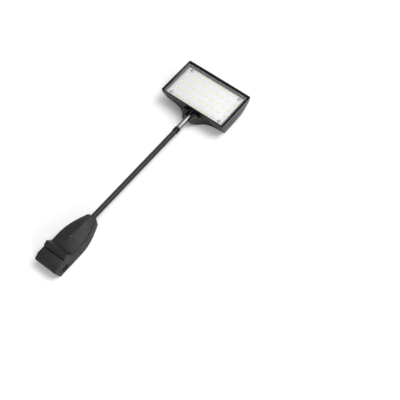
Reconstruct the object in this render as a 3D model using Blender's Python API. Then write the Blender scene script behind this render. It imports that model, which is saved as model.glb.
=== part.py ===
"""LED picture light on a straight arm, lying on its back with the light face up.

The arm runs along +Y from the driver housing to the lamp head, the long side of the head is along X
and the light shines towards +Z.  The origin is on the surface under the middle of the whole light.
Sizes are metres.  The head tilts about an X axis through the neck (hinge_screw).
"""

import math

import bmesh
import bpy
from mathutils import Matrix, Vector

GAP = 0.0003               # clearance between touching pieces

# Arm
ARM_Z = 0.018              # height of the arm's centre line over the surface
ARM_R = 0.006
ARM_WALL = 0.0012
ARM_INNER_END = -0.1690    # inside the housing
ARM_OUTER_END = 0.1385
FERRULE_LENGTH = 0.0120
FERRULE_R = 0.0073

# Hinge
PIVOT_Y = 0.1740
HINGE_TUBE_R = 0.0063
HINGE_TUBE_WALL = 0.0014
HINGE_TUBE_TAIL = 0.0105   # tube beyond the pivot
HINGE_SPIGOT = 0.0240      # length inside the arm
SCREW_R = 0.0018
SCREW_HEAD_R = 0.0035
SCREW_SEAT_X = -0.0103     # underside of the hinge screw's head
SCREW_LENGTH = 0.0213
NUT_X = 0.0090
NUT_R = 0.0035
NUT_T = 0.0022
WASHER_R = 0.0046
WASHER_T = 0.0007
SLOT_HALF = 0.0075         # half width of the slot in the neck
SLOT_BEYOND_PIVOT = 0.0130

# Driver housing
BASE_TIP = -0.1475
BASE_END = -0.2938
HOUSING_STATIONS = 20
BASE_SWELL = 0.0730        # length over which the outline opens to its full width
BASE_HALF = 0.0320
BASE_TIP_HALF = 0.0122
DRAFT = 0.131              # share of the width that the walls lose up to the seam
SEAM_TIP = 0.0210
SEAM_FULL = 0.0260
RIDGE_TIP = 0.0270
RIDGE_FULL = 0.0330
RIDGE_END = 0.0300
COVER_END = -0.2415
RIB_FRONT = -0.2535
RIB_BACK = -0.2635
RIB_TOP = 0.0442
RIB_LOW = 0.0380           # height of the rib's back edge
RIB_HALF = 0.0282
DECK_Z = 0.0340            # front edge of the end cap's deck
DECK_REAR_Z = 0.0330
DECK_FRONT = -0.2642
REAR_WALL_TOP = 0.0310     # shell walls that carry the deck
WALL = 0.0024
NOSE_FRONT = -0.2820       # side walls of the shell end here
NOSE_FOOT = -0.2850
COVER_SCREW_Y = -0.2135
COVER_SCREW_SEAT = 0.0312
COVER_SCREW_HOLE_R = 0.0017
BUSH_Y = -0.1630
BUSH_SCREW_X = 0.0053
BUSH_SCREW_SEAT = 0.0012
GRUB_R = 0.0016
DRIVER_Z = 0.0062          # underside of the driver board
DRIVER_T = 0.0016
SOCKET_Y = -0.2690
SOCKET_Z = 0.0120
SOCKET_HALF_Y = 0.0092
SOCKET_HALF_Z = 0.0050
SOCKET_FACE_X = 0.0288
SOCKET_BACK_X = 0.0120
SOCKET_FLOOR_X = 0.0145    # bottom of the recess
RECESS_R = 0.0037
PIN_PITCH = 0.0086

# Lamp head
HEAD_HALF = 0.0870
HEAD_FAR = 0.2938
HEAD_NEAR = 0.1880
HEAD_CORNER = 0.0030
HEAD_FOOT_NEAR = 0.2015    # near edge of the flat underside
HEAD_FOOT_HALF = 0.0835
HEAD_SWEEP_START = 0.2035
HEAD_SWEEP_END = 0.2934
HEAD_SWEEP_HEIGHT = 0.0300
HEAD_SWEEP_POWER = 5.0
HEAD_LEVEL_POWER = 2.2     # levels of the tub lie closer together near its foot
TRAY_FOOT_SHARE = 0.05
SHELL_RIM = 0.0337
BEZEL_TOP = 0.0415
BEZEL_LEDGE = 0.0380       # foot of the frame's sloping inner faces
LENS_TOP = 0.0367
LENS_T = 0.0016
LENS_LIP = 0.0016
WINDOW_HALF = 0.0785
WINDOW_NEAR = 0.1925
WINDOW_FAR = 0.2850
BOARD_BOTTOM = 0.0316
BOARD_T = 0.0016
SINK_T = 0.0020
SINK_BOTTOM = BOARD_BOTTOM - GAP - SINK_T
SINK_NEAR = 0.1965
SINK_FAR = 0.2830
SINK_FINS = 7
FIN_PITCH = 0.0105
FIN_T = 0.0020
FIN_DEPTH = 0.0120
POST_R = 0.0030
BOARD_SCREW_HOLE_R = 0.0019
LED_COLUMNS = 9
LED_ROWS = 5
WIRE_PAD = (7, 0)          # grid place without a light, over the soldered lead
LED_PITCH_X = 0.0168
LED_PITCH_Y = 0.01905
LED_SIZE = (0.0057, 0.0030, 0.0007)
GRID_Y = 0.2390            # middle of the LED grid
VENT_SLOTS = 44
VENT_WIDTH = 0.0018

# Leads
LEAD_R = 0.0010
LEAD_OVER_SCREW = 0.0032   # height of the lead over the pivot

# Colours
BLACK_PLASTIC = (0.020, 0.020, 0.021)
SATIN_BLACK = (0.030, 0.030, 0.031)
BOARD_WHITE = (0.90, 0.90, 0.88)


def clear_scene():
    """Remove everything that a new file holds."""
    for obj in list(bpy.data.objects):
        bpy.data.objects.remove(obj, do_unlink=True)


def material(name, colour, roughness, metallic=0.0, alpha=1.0):
    """A Principled material of one plain finish."""
    mat = bpy.data.materials.new(name)
    mat.use_nodes = True
    shader = mat.node_tree.nodes["Principled BSDF"]
    shader.inputs["Base Color"].default_value = (*colour, 1.0)
    shader.inputs["Roughness"].default_value = roughness
    shader.inputs["Metallic"].default_value = metallic
    shader.inputs["Alpha"].default_value = alpha
    mat.diffuse_color = (*colour, alpha)
    return mat


def finish(name, bm, mat=None, smooth_angle=None):
    """Turn a bmesh into a named object with outward faces."""
    bmesh.ops.remove_doubles(bm, verts=bm.verts, dist=1e-6)
    bmesh.ops.recalc_face_normals(bm, faces=bm.faces)
    mesh = bpy.data.meshes.new(name)
    bm.to_mesh(mesh)
    bm.free()
    if smooth_angle is not None:
        mesh.shade_smooth()
        mesh.set_sharp_from_angle(angle=math.radians(smooth_angle))
    obj = bpy.data.objects.new(name, mesh)
    bpy.context.scene.collection.objects.link(obj)
    if mat is not None:
        mesh.materials.append(mat)
    return obj


def loft(name, sections, mat=None, smooth_angle=None):
    """A closed solid through sections with the same number of points."""
    bm = bmesh.new()
    rings = [[bm.verts.new(point) for point in section] for section in sections]
    count = len(rings[0])
    for ring, following in zip(rings, rings[1:]):
        for i in range(count):
            j = (i + 1) % count
            bm.faces.new((ring[i], ring[j], following[j], following[i]))
    bm.faces.new(rings[0])
    bm.faces.new(list(reversed(rings[-1])))
    return finish(name, bm, mat, smooth_angle)


def box(name, low, high, mat=None, bevel=0.0):
    """A block between two corners, its edges eased by a bevel."""
    bm = bmesh.new()
    size = Vector(high) - Vector(low)
    middle = (Vector(high) + Vector(low)) / 2
    bmesh.ops.create_cube(bm, size=1.0, matrix=Matrix.Translation(middle) @ Matrix.Diagonal((*size, 1.0)))
    if bevel:
        bmesh.ops.bevel(bm, geom=bm.edges[:], offset=bevel, segments=2, affect="EDGES", profile=0.5)
    return finish(name, bm, mat)


def axis_frame(axis, centre):
    """Matrix that lays +Z along an axis letter at a centre."""
    turn = {"X": Matrix.Rotation(math.pi / 2, 4, "Y"),
            "Y": Matrix.Rotation(-math.pi / 2, 4, "X"),
            "Z": Matrix.Identity(4)}[axis]
    return Matrix.Translation(centre) @ turn


def turned(name, profile, axis, centre, mat=None, steps=24, smooth_angle=40):
    """A closed profile of (radius, height) points spun round an axis."""
    bm = bmesh.new()
    verts = [bm.verts.new((radius, 0.0, height)) for radius, height in profile]
    edges = [bm.edges.new((verts[i], verts[(i + 1) % len(verts)])) for i in range(len(verts))
             if profile[i][0] > 0.0 or profile[(i + 1) % len(verts)][0] > 0.0]
    bmesh.ops.spin(bm, geom=verts + edges, cent=(0, 0, 0), axis=(0, 0, 1),
                   angle=2 * math.pi, steps=steps, use_merge=True)
    bmesh.ops.transform(bm, matrix=axis_frame(axis, centre), verts=bm.verts)
    return finish(name, bm, mat, smooth_angle)


def rod(name, radius, low, high, axis, centre, mat=None, steps=24):
    """A plain round bar from low to high along its axis."""
    return turned(name, [(0, low), (radius, low), (radius, high), (0, high)], axis, centre, mat, steps)


def ring(name, outer, inner, low, high, axis, centre, mat=None, steps=24):
    """A round tube or washer."""
    profile = [(inner, low), (outer, low), (outer, high), (inner, high)]
    return turned(name, profile, axis, centre, mat, steps)


def prism(name, outline, axis, low, high, mat=None):
    """A flat outline pushed from low to high along X, Y or Z."""
    def place(u, v, w):
        return {"X": (w, u, v), "Y": (u, w, v), "Z": (u, v, w)}[axis]
    return loft(name, [[place(u, v, w) for u, v in outline] for w in (low, high)], mat)


def boolean(target, tool, operation):
    """Join or cut a piece with a hidden tool shape."""
    tool.hide_render = True
    tool.display_type = "WIRE"
    modifier = target.modifiers.new(operation.title(), "BOOLEAN")
    modifier.operation = operation
    modifier.solver = "EXACT"
    modifier.object = tool
    return target


def cut(target, *tools):
    """Take tool shapes away from a piece."""
    for tool in tools:
        boolean(target, tool, "DIFFERENCE")
    return target


def join(target, *tools):
    """Add tool shapes to a piece."""
    for tool in tools:
        boolean(target, tool, "UNION")
    return target


def arc(centre, radius, start, end, steps):
    """Points of an arc, angles in degrees."""
    angles = [math.radians(start + (end - start) * i / steps) for i in range(steps + 1)]
    return [(centre[0] + radius * math.cos(a), centre[1] + radius * math.sin(a)) for a in angles]


def stadium(centre, half_length, radius, steps=6):
    """Outline with two round ends, its long way along the first coordinate."""
    u, v = centre
    reach = half_length - radius
    return arc((u + reach, v), radius, -90, 90, steps) + arc((u - reach, v), radius, 90, 270, steps)


def pan_screw(name, radius, head_r, head_h, length, axis, centre, mat, up=1):
    """A screw whose head stands from 0 up and whose shank goes the other way, with a cross recess."""
    profile = [(0, -length * up), (radius, -length * up), (radius, 0), (head_r, 0),
               (head_r, head_h * 0.5 * up), (head_r * 0.7, head_h * up), (0, head_h * up)]
    screw = turned(name, profile, axis, centre, mat, steps=16)
    frame = axis_frame(axis, centre)
    for turn in (0, 1):
        half = Vector((head_r * 0.55, head_r * 0.14, head_h * 0.3))
        if turn:
            half = Vector((half.y, half.x, half.z))
        bm = bmesh.new()
        place = Matrix.Translation((0, 0, head_h * up)) @ Matrix.Diagonal((*(half * 2), 1.0))
        bmesh.ops.create_cube(bm, size=1.0, matrix=frame @ place)
        cut(screw, finish(f"{name}_cross_{turn}", bm))
    return screw


# ---------------------------------------------------------------- driver housing

def swell(y):
    """How far the housing's outline has opened at y, from 0 at the tip to 1."""
    share = min(max((BASE_TIP - y) / BASE_SWELL, 0.0), 1.0)
    return math.sin(share * math.pi / 2)


def base_half(y):
    """Half width of the housing on the surface it lies on."""
    return BASE_TIP_HALF + (BASE_HALF - BASE_TIP_HALF) * swell(y)


def seam_z(y):
    """Height of the seam between shell and cover."""
    return SEAM_TIP + (SEAM_FULL - SEAM_TIP) * swell(y)


def wall_half(y, z):
    """Half width of the leaning side wall at a height."""
    return base_half(y) * (1.0 - DRAFT * min(z / SEAM_FULL, 1.0))


def ridge_z(y):
    """Height of the cover's centre ridge: up from the tip, then gently down."""
    rise = min((BASE_TIP - y) / 0.030, 1.0)
    fall = min(max((COVER_SCREW_Y - y) / (COVER_SCREW_Y - COVER_END), 0.0), 1.0)
    crown = RIDGE_TIP + (RIDGE_FULL - RIDGE_TIP) * math.sin(rise * math.pi / 2)
    return crown - (RIDGE_FULL - RIDGE_END) * fall


def stations(start, end, count):
    """Evenly spaced places from start to end."""
    return [start + (end - start) * i / count for i in range(count + 1)]


def shell_section(y, top, inset, floor):
    """Section of the shell, or of its hollow when inset is the wall thickness."""
    low = base_half(y) - inset
    high = wall_half(y, top) - inset
    ease = 0.0015
    return [(-low + ease, y, floor), (low - ease, y, floor), (low, y, floor + ease),
            (high, y, top), (-high, y, top), (-low, y, floor + ease)]


def base_shell(mat):
    """Bottom tub with its side walls, the bridge with the cross rib and the cover's screw post."""
    front = [BASE_TIP, BASE_TIP - 0.0025] + stations(BASE_TIP - 0.0060, COVER_END, HOUSING_STATIONS)
    outer = [shell_section(y, seam_z(y), 0.0, 0.0) for y in front]
    outer[0] = [(x * 0.86, y, z) for x, y, z in outer[0]]
    step = SEAM_FULL + 0.0002
    outer += [shell_section(y, step, 0.0, 0.0) for y in (COVER_END - 0.0004, RIB_BACK + 0.0006)]
    outer += [shell_section(y, REAR_WALL_TOP, 0.0, 0.0) for y in (RIB_BACK, NOSE_FRONT)]
    shell = loft("base_shell", outer, mat)

    above = 0.0500
    hollow = [shell_section(y, above, WALL, WALL) for y in stations(BASE_TIP - 0.0045, NOSE_FRONT - 0.002, 14)]
    cut(shell, loft("base_hollow", hollow))
    join(shell, bridge())
    screw_spot = (0, COVER_SCREW_Y, 0)
    join(shell, rod("cover_post", 0.0042, 0.0010, SEAM_FULL, "Z", screw_spot))
    cut(shell, rod("cover_post_hole", COVER_SCREW_HOLE_R, 0.0120, 0.0300, "Z", screw_spot, steps=16))
    cut(shell, rod("arm_hole", ARM_R + GAP, BASE_TIP - 0.010, BASE_TIP + 0.010, "Y", (0, 0, ARM_Z)))
    for side in (-1, 1):
        opening = stadium((SOCKET_Y, SOCKET_Z), SOCKET_HALF_Y, SOCKET_HALF_Z)
        low, high = sorted((side * 0.024, side * 0.036))
        cut(shell, prism(f"socket_opening_{side}", opening, "X", low, high))
    for x, y in bush_screw_places():
        cut(shell, turned(f"bush_screw_way_{x}", screw_hole_profile(), "Z", (x, y, 0), steps=16))
    cut(shell, rod("grub_access", 0.0020, -0.001, 0.006, "Z", (0, BUSH_Y, 0), steps=16))
    for x, y in board_post_places():
        join(shell, rod(f"board_post_{x}_{y}", 0.0026, 0.0010, DRIVER_Z - GAP, "Z", (x, y, 0), steps=12))
    return shell


def bridge():
    """The ramp and the raised cross rib that close the shell over its rear part."""
    root = 0.0225

    def section(y, edge, ridge, under):
        ease = 0.0010
        inner = RIB_HALF - WALL
        right = [(RIB_HALF - 0.0006, root), (RIB_HALF, SEAM_FULL), (RIB_HALF, edge - ease), (RIB_HALF - ease, edge)]
        hollow = [(inner, under - ease), (inner, root)]
        outside = right + [(0, ridge)] + [(-x, z) for x, z in reversed(right)]
        inside = [(-x, z) for x, z in reversed(hollow)] + [(0, under)] + hollow
        return [(x, y, z) for x, z in outside + inside]
    start = COVER_END - 0.0004
    middle = (start + RIB_FRONT) / 2
    shut = DECK_Z - 0.0040
    return loft("bridge", [
        section(start, SEAM_FULL + 0.0022, RIDGE_END + 0.0014, RIDGE_END - 0.0014),
        section(middle, 0.0345, 0.0360, 0.0345 - WALL),
        section(RIB_FRONT + 0.0008, RIB_TOP - 0.0010, RIB_TOP - 0.0008, RIB_TOP - WALL - 0.0010),
        section(RIB_FRONT, RIB_TOP, RIB_TOP, RIB_TOP - WALL),
        section(RIB_BACK + 0.0040, RIB_LOW + 0.0030, RIB_LOW + 0.0030, RIB_LOW + 0.0030 - WALL),
        section(RIB_BACK + 0.0030, RIB_LOW + 0.0023, RIB_LOW + 0.0023, shut),
        section(RIB_BACK + 0.0008, RIB_LOW + 0.0004, RIB_LOW + 0.0004, shut),
        section(RIB_BACK, RIB_LOW - 0.0006, RIB_LOW - 0.0006, shut)])


def bush_screw_places():
    """Where the two screws go up through the floor into the bush."""
    return [(-BUSH_SCREW_X, BUSH_Y), (BUSH_SCREW_X, BUSH_Y)]


def board_post_places():
    """Posts that the driver board rests on."""
    return [(side * x, y) for side in (-1, 1) for x, y in ((0.0150, -0.1925), (0.0205, -0.2480))]


def screw_hole_profile():
    """Counterbore and clearance hole for a floor screw."""
    head, shank, seat = 0.0032, 0.0016, BUSH_SCREW_SEAT
    return [(0, -0.001), (head, -0.001), (head, seat), (shank, seat), (shank, 0.006), (0, 0.006)]


def top_cover(mat):
    """Gabled front cover, hollow below, with a countersink for its screw."""
    sections = []
    for y in [BASE_TIP - 0.0010, BASE_TIP - 0.0030] + stations(BASE_TIP - 0.0060, COVER_END, HOUSING_STATIONS):
        at_tip = y > BASE_TIP - 0.0020
        z = seam_z(y) + GAP
        half = wall_half(y, z) * (0.80 if at_tip else 1.0)
        ridge = ridge_z(y) - (0.0022 if at_tip else 0.0)
        inner = half - 0.0020
        crown = max(ridge - WALL, z + 0.0004)
        sections.append([(half, y, z), (half - 0.0004, y, z + 0.0010), (0, y, ridge),
                         (-half + 0.0004, y, z + 0.0010), (-half, y, z),
                         (-inner, y, z), (0, y, crown), (inner, y, z)])
    cover = loft("top_cover", sections, mat)
    cut(cover, rod("arm_clearance", ARM_R + GAP, -0.17, -0.13, "Y", (0, 0, ARM_Z)))
    spot = (0, COVER_SCREW_Y, 0)
    seat = rod("cover_screw_seat", 0.0033, COVER_SCREW_SEAT, 0.0400, "Z", spot, steps=16)
    hole = rod("cover_screw_way", 0.0019, 0.0200, 0.0400, "Z", spot, steps=16)
    return cut(cover, seat, hole)


def end_cap(mat):
    """Flat deck behind the rib and the sloping nose that closes the shell."""
    start = NOSE_FRONT - GAP
    under = REAR_WALL_TOP + GAP
    profile = [(start, 0.0), (NOSE_FOOT, 0.0), (BASE_END + 0.0010, 0.0175), (BASE_END, 0.0205),
               (BASE_END, 0.0225), (BASE_END + 0.0010, 0.0245), (NOSE_FRONT - 0.0022, DECK_REAR_Z - 0.0008),
               (NOSE_FRONT - 0.0008, DECK_REAR_Z), (DECK_FRONT, DECK_Z), (DECK_FRONT, under), (start, under)]
    cap = prism("end_cap", profile, "X", -BASE_HALF, BASE_HALF, mat)
    top = SEAM_FULL * 2
    foot, high = BASE_HALF - 0.0001, BASE_HALF * (1 - DRAFT) - 0.0001
    across = [(foot, -0.01), (foot, 0.0), (high, SEAM_FULL), (high, top)]
    across += [(-x, z) for x, z in reversed(across)]
    boolean(cap, prism("cap_draft", across, "Y", BASE_END - 0.01, DECK_FRONT + 0.01), "INTERSECT")
    chamfer = 0.0016
    wide = BASE_HALF + 0.0010
    plan = [(-wide, DECK_FRONT + 0.01), (-wide, NOSE_FRONT - 0.0060), (-high + chamfer, BASE_END - 0.0005)]
    plan += [(-x, y) for x, y in reversed(plan)]
    boolean(cap, prism("cap_plan", plan, "Z", -0.02, 0.06), "INTERSECT")
    inside = SOCKET_BACK_X * 2
    hollow = [(DECK_FRONT, 0.0035), (NOSE_FOOT + 0.0016, 0.0035), (BASE_END + 0.0030, 0.0190),
              (BASE_END + 0.0030, 0.0215), (start, 0.0290), (DECK_FRONT, 0.0290)]
    return cut(cap, prism("cap_hollow", hollow, "X", -inside, inside))


def arm_bush(mat):
    """Block inside the tip that holds the arm, its top sloped to clear the cover."""
    half, near, far = 0.0082, BUSH_Y - 0.0050, BUSH_Y + 0.0050
    outline = [(-half, WALL + GAP), (half, WALL + GAP), (half, 0.0220), (half / 2, 0.0250),
               (-half / 2, 0.0250), (-half, 0.0220)]
    block = prism("arm_bush", outline, "Y", near, far, mat)
    cut(block, rod("bush_bore", ARM_R + GAP, near - 0.01, far + 0.01, "Y", (0, 0, ARM_Z)))
    for x, y in bush_screw_places():
        cut(block, rod(f"bush_thread_{x}", 0.0013 + GAP, 0.0, 0.0095, "Z", (x, y, 0), steps=12))
    return cut(block, rod("bush_grub_hole", GRUB_R + GAP, 0.0, 0.0150, "Z", (0, BUSH_Y, 0), steps=16))


def socket(name, side, mat):
    """Two-pole inlet or outlet: an insulating block with a figure-eight recess."""
    low, high = sorted((side * SOCKET_FACE_X, side * SOCKET_BACK_X))
    outline = stadium((SOCKET_Y, SOCKET_Z), SOCKET_HALF_Y - GAP, SOCKET_HALF_Z - GAP)
    body = prism(name, outline, "X", low, high, mat)
    block_low, block_high = sorted((side * SOCKET_BACK_X, side * 0.0245))
    join(body, box(f"{name}_block", (block_low, SOCKET_Y - 0.0110, 0.0045),
                   (block_high, SOCKET_Y + 0.0110, 0.0195)))
    low, high = sorted((side * SOCKET_FLOOR_X, side * 0.0400))
    for end in (-1, 1):
        spot = (0, SOCKET_Y + end * PIN_PITCH / 2, SOCKET_Z)
        cut(body, rod(f"{name}_recess_{end}", RECESS_R, low, high, "X", spot, steps=16))
    waist = 0.0030
    return cut(body, box(f"{name}_waist", (low, SOCKET_Y - waist, SOCKET_Z - waist),
                         (high, SOCKET_Y + waist, SOCKET_Z + waist)))


def socket_pin(name, side, end, mat):
    """One round contact standing in the recess."""
    low, high = sorted((side * (SOCKET_FLOOR_X + GAP), side * 0.0250))
    place = (0, SOCKET_Y + end * PIN_PITCH / 2, SOCKET_Z)
    return rod(name, 0.0012, low, high, "X", place, mat, steps=12)


def driver_board(mat):
    """Circuit board on the floor of the housing, open round the screw post."""
    points = [(-0.0060, -0.1690), (-0.0130, -0.1800), (-0.0190, -0.1950), (-0.0225, -0.2150),
              (-0.0240, -0.2400), (-0.0240, -0.2560)]
    outline = points + [(-x, y) for x, y in reversed(points)]
    board = prism("driver_board", outline, "Z", DRIVER_Z, DRIVER_Z + DRIVER_T, mat)
    way = rod("board_post_way", 0.0052, 0.0, 0.02, "Z", (0, COVER_SCREW_Y, 0), steps=16)
    return cut(board, way)


def driver_parts(mats):
    """The transformer, two capacitors and the choke on the board."""
    base = DRIVER_Z + DRIVER_T + GAP
    low, high = (-0.0105, -0.2410, base), (0.0105, -0.2200, base + 0.0160)
    core = box("transformer", low, high, mats["ferrite"], bevel=0.0008)
    join(core, box("transformer_coil", (-0.0135, -0.2370, base + 0.0030), (0.0135, -0.2240, base + 0.0130)))
    can = [(0, 0), (0.0060, 0), (0.0060, 0.0170), (0.0052, 0.0180), (0, 0.0180)]
    turned("input_capacitor", can, "Y", (0.0130, -0.2030, base + 0.0062), mats["sleeve"], steps=20)
    small = [(0, 0), (0.0045, 0), (0.0045, 0.0110), (0, 0.0110)]
    turned("output_capacitor", small, "Y", (-0.0110, -0.1990, base + 0.0047), mats["sleeve"], steps=16)
    ring("choke", 0.0060, 0.0028, 0.0, 0.0060, "Z", (0, -0.2500, base), mats["ferrite"], steps=20)


# ---------------------------------------------------------------- arm and hinge

def arm_pieces(mats):
    """The arm, its end ferrule and the screws that pin it in the housing."""
    centre = (0, 0, ARM_Z)
    ring("arm_tube", ARM_R, ARM_R - ARM_WALL, ARM_INNER_END, ARM_OUTER_END - 0.0004, "Y", centre,
         mats["arm"], steps=28)
    low, high = ARM_OUTER_END - FERRULE_LENGTH, ARM_OUTER_END
    inner = ARM_R + GAP
    ease = 0.0006
    profile = [(inner, low), (FERRULE_R - ease, low), (FERRULE_R, low + ease),
               (FERRULE_R, high - ease), (FERRULE_R - ease, high), (inner, high)]
    turned("arm_ferrule", profile, "Y", centre, mats["black"], steps=28)
    rod("arm_grub_screw", GRUB_R, 0.0040, ARM_Z - ARM_R - GAP, "Z", (0, BUSH_Y, 0), mats["steel"], steps=12)
    for (x, y), side in zip(bush_screw_places(), ("left", "right")):
        pan_screw(f"bush_screw_{side}", 0.0013, 0.0026, 0.0008, 0.0078, "Z", (x, y, BUSH_SCREW_SEAT - GAP),
                  mats["zinc"], up=-1)


def hinge_tube(mat):
    """Bright tube that carries the head: spigot in the arm, cross bore and a slanting open end."""
    inner = HINGE_TUBE_R - HINGE_TUBE_WALL
    spigot = ARM_R - ARM_WALL - GAP
    start = ARM_OUTER_END - HINGE_SPIGOT
    shoulder = ARM_OUTER_END + GAP
    end = PIVOT_Y + HINGE_TUBE_TAIL
    bore = spigot - 0.0010
    profile = [(bore, start), (spigot, start), (spigot, shoulder), (HINGE_TUBE_R, shoulder),
               (HINGE_TUBE_R, end), (inner, end), (inner, shoulder + 0.003), (bore, shoulder + 0.003)]
    tube = turned("hinge_tube", profile, "Y", (0, 0, ARM_Z), mat, steps=28)
    slant = [(end + 0.002, ARM_Z - 0.0030), (end + 0.002, ARM_Z + 0.010), (end - 0.0070, ARM_Z + 0.010)]
    cut(tube, prism("tube_slant", slant, "X", -0.01, 0.01))
    return cut(tube, rod("tube_cross_bore", SCREW_R + GAP, -0.01, 0.01, "X", (0, PIVOT_Y, ARM_Z), steps=16))


def hinge_hardware(mats):
    """Friction screw, its nut and the two washers beside the tube."""
    centre = (0, PIVOT_Y, ARM_Z)
    pan_screw("hinge_screw", SCREW_R, SCREW_HEAD_R, 0.0022, SCREW_LENGTH, "X", (SCREW_SEAT_X, PIVOT_Y, ARM_Z),
              mats["steel"], up=-1)
    inner_face = HINGE_TUBE_R + GAP
    for name, side in (("hinge_washer_left", -1), ("hinge_washer_right", 1)):
        low, high = sorted((side * inner_face, side * (inner_face + WASHER_T)))
        ring(name, WASHER_R, SCREW_R + GAP, low, high, "X", centre, mats["steel"], steps=20)
    hole = SCREW_R + GAP
    turned("hinge_nut", [(hole, 0.0), (NUT_R, 0.0), (NUT_R, NUT_T), (hole, NUT_T)],
           "X", (NUT_X, PIVOT_Y, ARM_Z), mats["steel"], steps=6, smooth_angle=20)


# ---------------------------------------------------------------- lamp head

def head_bottom(y):
    """Height of the underside of the head: flat near the neck, sweeping up to the far edge."""
    share = (y - HEAD_SWEEP_START) / (HEAD_SWEEP_END - HEAD_SWEEP_START)
    return HEAD_SWEEP_HEIGHT * min(max(share, 0.0), 1.0) ** HEAD_SWEEP_POWER


def head_far(z):
    """Far edge of the head at a height, the same sweep read the other way."""
    share = min(z / HEAD_SWEEP_HEIGHT, 1.0) ** (1 / HEAD_SWEEP_POWER)
    return HEAD_SWEEP_START + (HEAD_SWEEP_END - HEAD_SWEEP_START) * share


def head_near(z):
    """Near wall of the head at a height, leaning in towards the foot."""
    return HEAD_FOOT_NEAR - (HEAD_FOOT_NEAR - HEAD_NEAR - 0.0004) * z / SHELL_RIM


def rounded(half, near, far, z, radius):
    """A rectangle with round corners, lying flat at a height."""
    steps = 5
    points = arc((half - radius, far - radius), radius, 0, 90, steps)
    points += arc((radius - half, far - radius), radius, 90, 180, steps)
    points += arc((radius - half, near + radius), radius, 180, 270, steps)
    points += arc((half - radius, near + radius), radius, 270, 360, steps)
    return [(x, y, z) for x, y in points]


def tray(name, lift, inset_side, inset_near, inset_far, mat=None):
    """The head's tub; with insets and a lift the same shape gives its hollow."""
    levels = 16
    sections = []
    for i in range(levels + 1):
        z = SHELL_RIM * max(i / levels, TRAY_FOOT_SHARE) ** HEAD_LEVEL_POWER
        half = HEAD_FOOT_HALF + (HEAD_HALF - 0.0004 - HEAD_FOOT_HALF) * z / SHELL_RIM
        sections.append(rounded(half - inset_side, head_near(z) + inset_near, head_far(z) - inset_far,
                                z + lift, HEAD_CORNER))
    sections[0] = [(x, y, lift) for x, y, _ in sections[0]]
    if lift:
        sections.append([(x, y, 0.0500) for x, y, _ in sections[-1]])
    return loft(name, sections, mat)


def neck(name):
    """Mound that flares from the hinge cheeks into the foot of the head."""
    off = 0.00004
    rows = [(0.1685, 0.0122, 0.0125, 0.0118, 0.0250), (0.1695, 0.0130, 0.0100, 0.0122, 0.0262),
            (0.1725, 0.0146, 0.0065, 0.0130, 0.0272), (0.1760, 0.0176, 0.0040, 0.0140, 0.0282),
            (0.1800, 0.0210, 0.0020, 0.0160, 0.0296), (0.1850, 0.0255, 0.0006, 0.0190, 0.0315),
            (0.1900, 0.0310, off, 0.0220, 0.0330), (0.1935, 0.0360, off, 0.0240, 0.0325),
            (0.1970, 0.0440, off, 0.0260, 0.0310), (0.1995, 0.0560, off, 0.0280, 0.0240),
            (0.2015, 0.0780, off, 0.0320, 0.0160), (0.2030, 0.0800, off, 0.0340, 0.0100)]
    top_ease, foot_ease = 0.0015, 0.0020
    sections = []
    for y, foot, under, top_half, top in rows:
        right = [(top_half - top_ease, top), (top_half, top - top_ease), (foot, under + foot_ease),
                 (foot - foot_ease, under)]
        outline = right + [(-x, z) for x, z in reversed(right)]
        sections.append([(x, y, z) for x, z in outline])
    return loft(name, sections)


def head_shell(mat):
    """Back of the lamp head with the flared neck, slotted for the hinge tube."""
    shell = tray("head_shell", 0.0, 0.0, 0.0, 0.0, mat)
    join(shell, neck("neck"))
    cut(shell, tray("head_hollow", WALL, WALL, WALL * 0.6, WALL * 1.2))
    end = PIVOT_Y + SLOT_BEYOND_PIVOT
    cut(shell, box("neck_slot", (-SLOT_HALF, 0.1500, -0.01), (SLOT_HALF, end, 0.06)))
    centre = (0, PIVOT_Y, ARM_Z)
    nut_far = NUT_X + NUT_T + GAP
    cut(shell, rod("pivot_bore", SCREW_R + GAP, SCREW_SEAT_X - GAP, nut_far, "X", centre, steps=16))
    cut(shell, rod("pivot_head_well", SCREW_HEAD_R + 0.0010, -0.0400, SCREW_SEAT_X + GAP, "X", centre, steps=20))
    pocket = NUT_R + GAP
    cut(shell, box("pivot_nut_well", (NUT_X - GAP, PIVOT_Y - pocket, -0.01),
                   (nut_far, PIVOT_Y + pocket, ARM_Z + pocket)))
    for x, y in board_screw_places():
        foot = 0.0095 if y < GRID_Y else head_bottom(y + POST_R) + 0.0010
        join(shell, rod(f"sink_post_{x}_{y}", POST_R, foot, SINK_BOTTOM - GAP, "Z", (x, y, 0), steps=16))
        cut(shell, rod(f"sink_post_hole_{x}_{y}", BOARD_SCREW_HOLE_R, SINK_BOTTOM - 0.0060, 0.05, "Z",
                       (x, y, 0), steps=12))
    for side in (-1, 1):
        cut(shell, crescent(side))
    way = LEAD_R + 0.0008
    return cut(shell, box("lead_way", (-way, PIVOT_Y + 0.0110, 0.0256), (way, 0.1960, 0.0450)))


def crescent(side):
    """Half-moon opening in the neck, under the near edge of the light face."""
    inner, outer, back = 0.0045, 0.0470, 0.1975
    outline = [(inner, back), (outer, back), (outer, 0.1892), (0.0380, 0.1872), (0.0290, 0.1854),
               (0.0200, 0.1843), (0.0120, 0.1843), (inner, 0.1858)]
    return prism(f"crescent_{side}", [(side * x, y) for x, y in outline], "Z", 0.0240, 0.0450)


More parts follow.
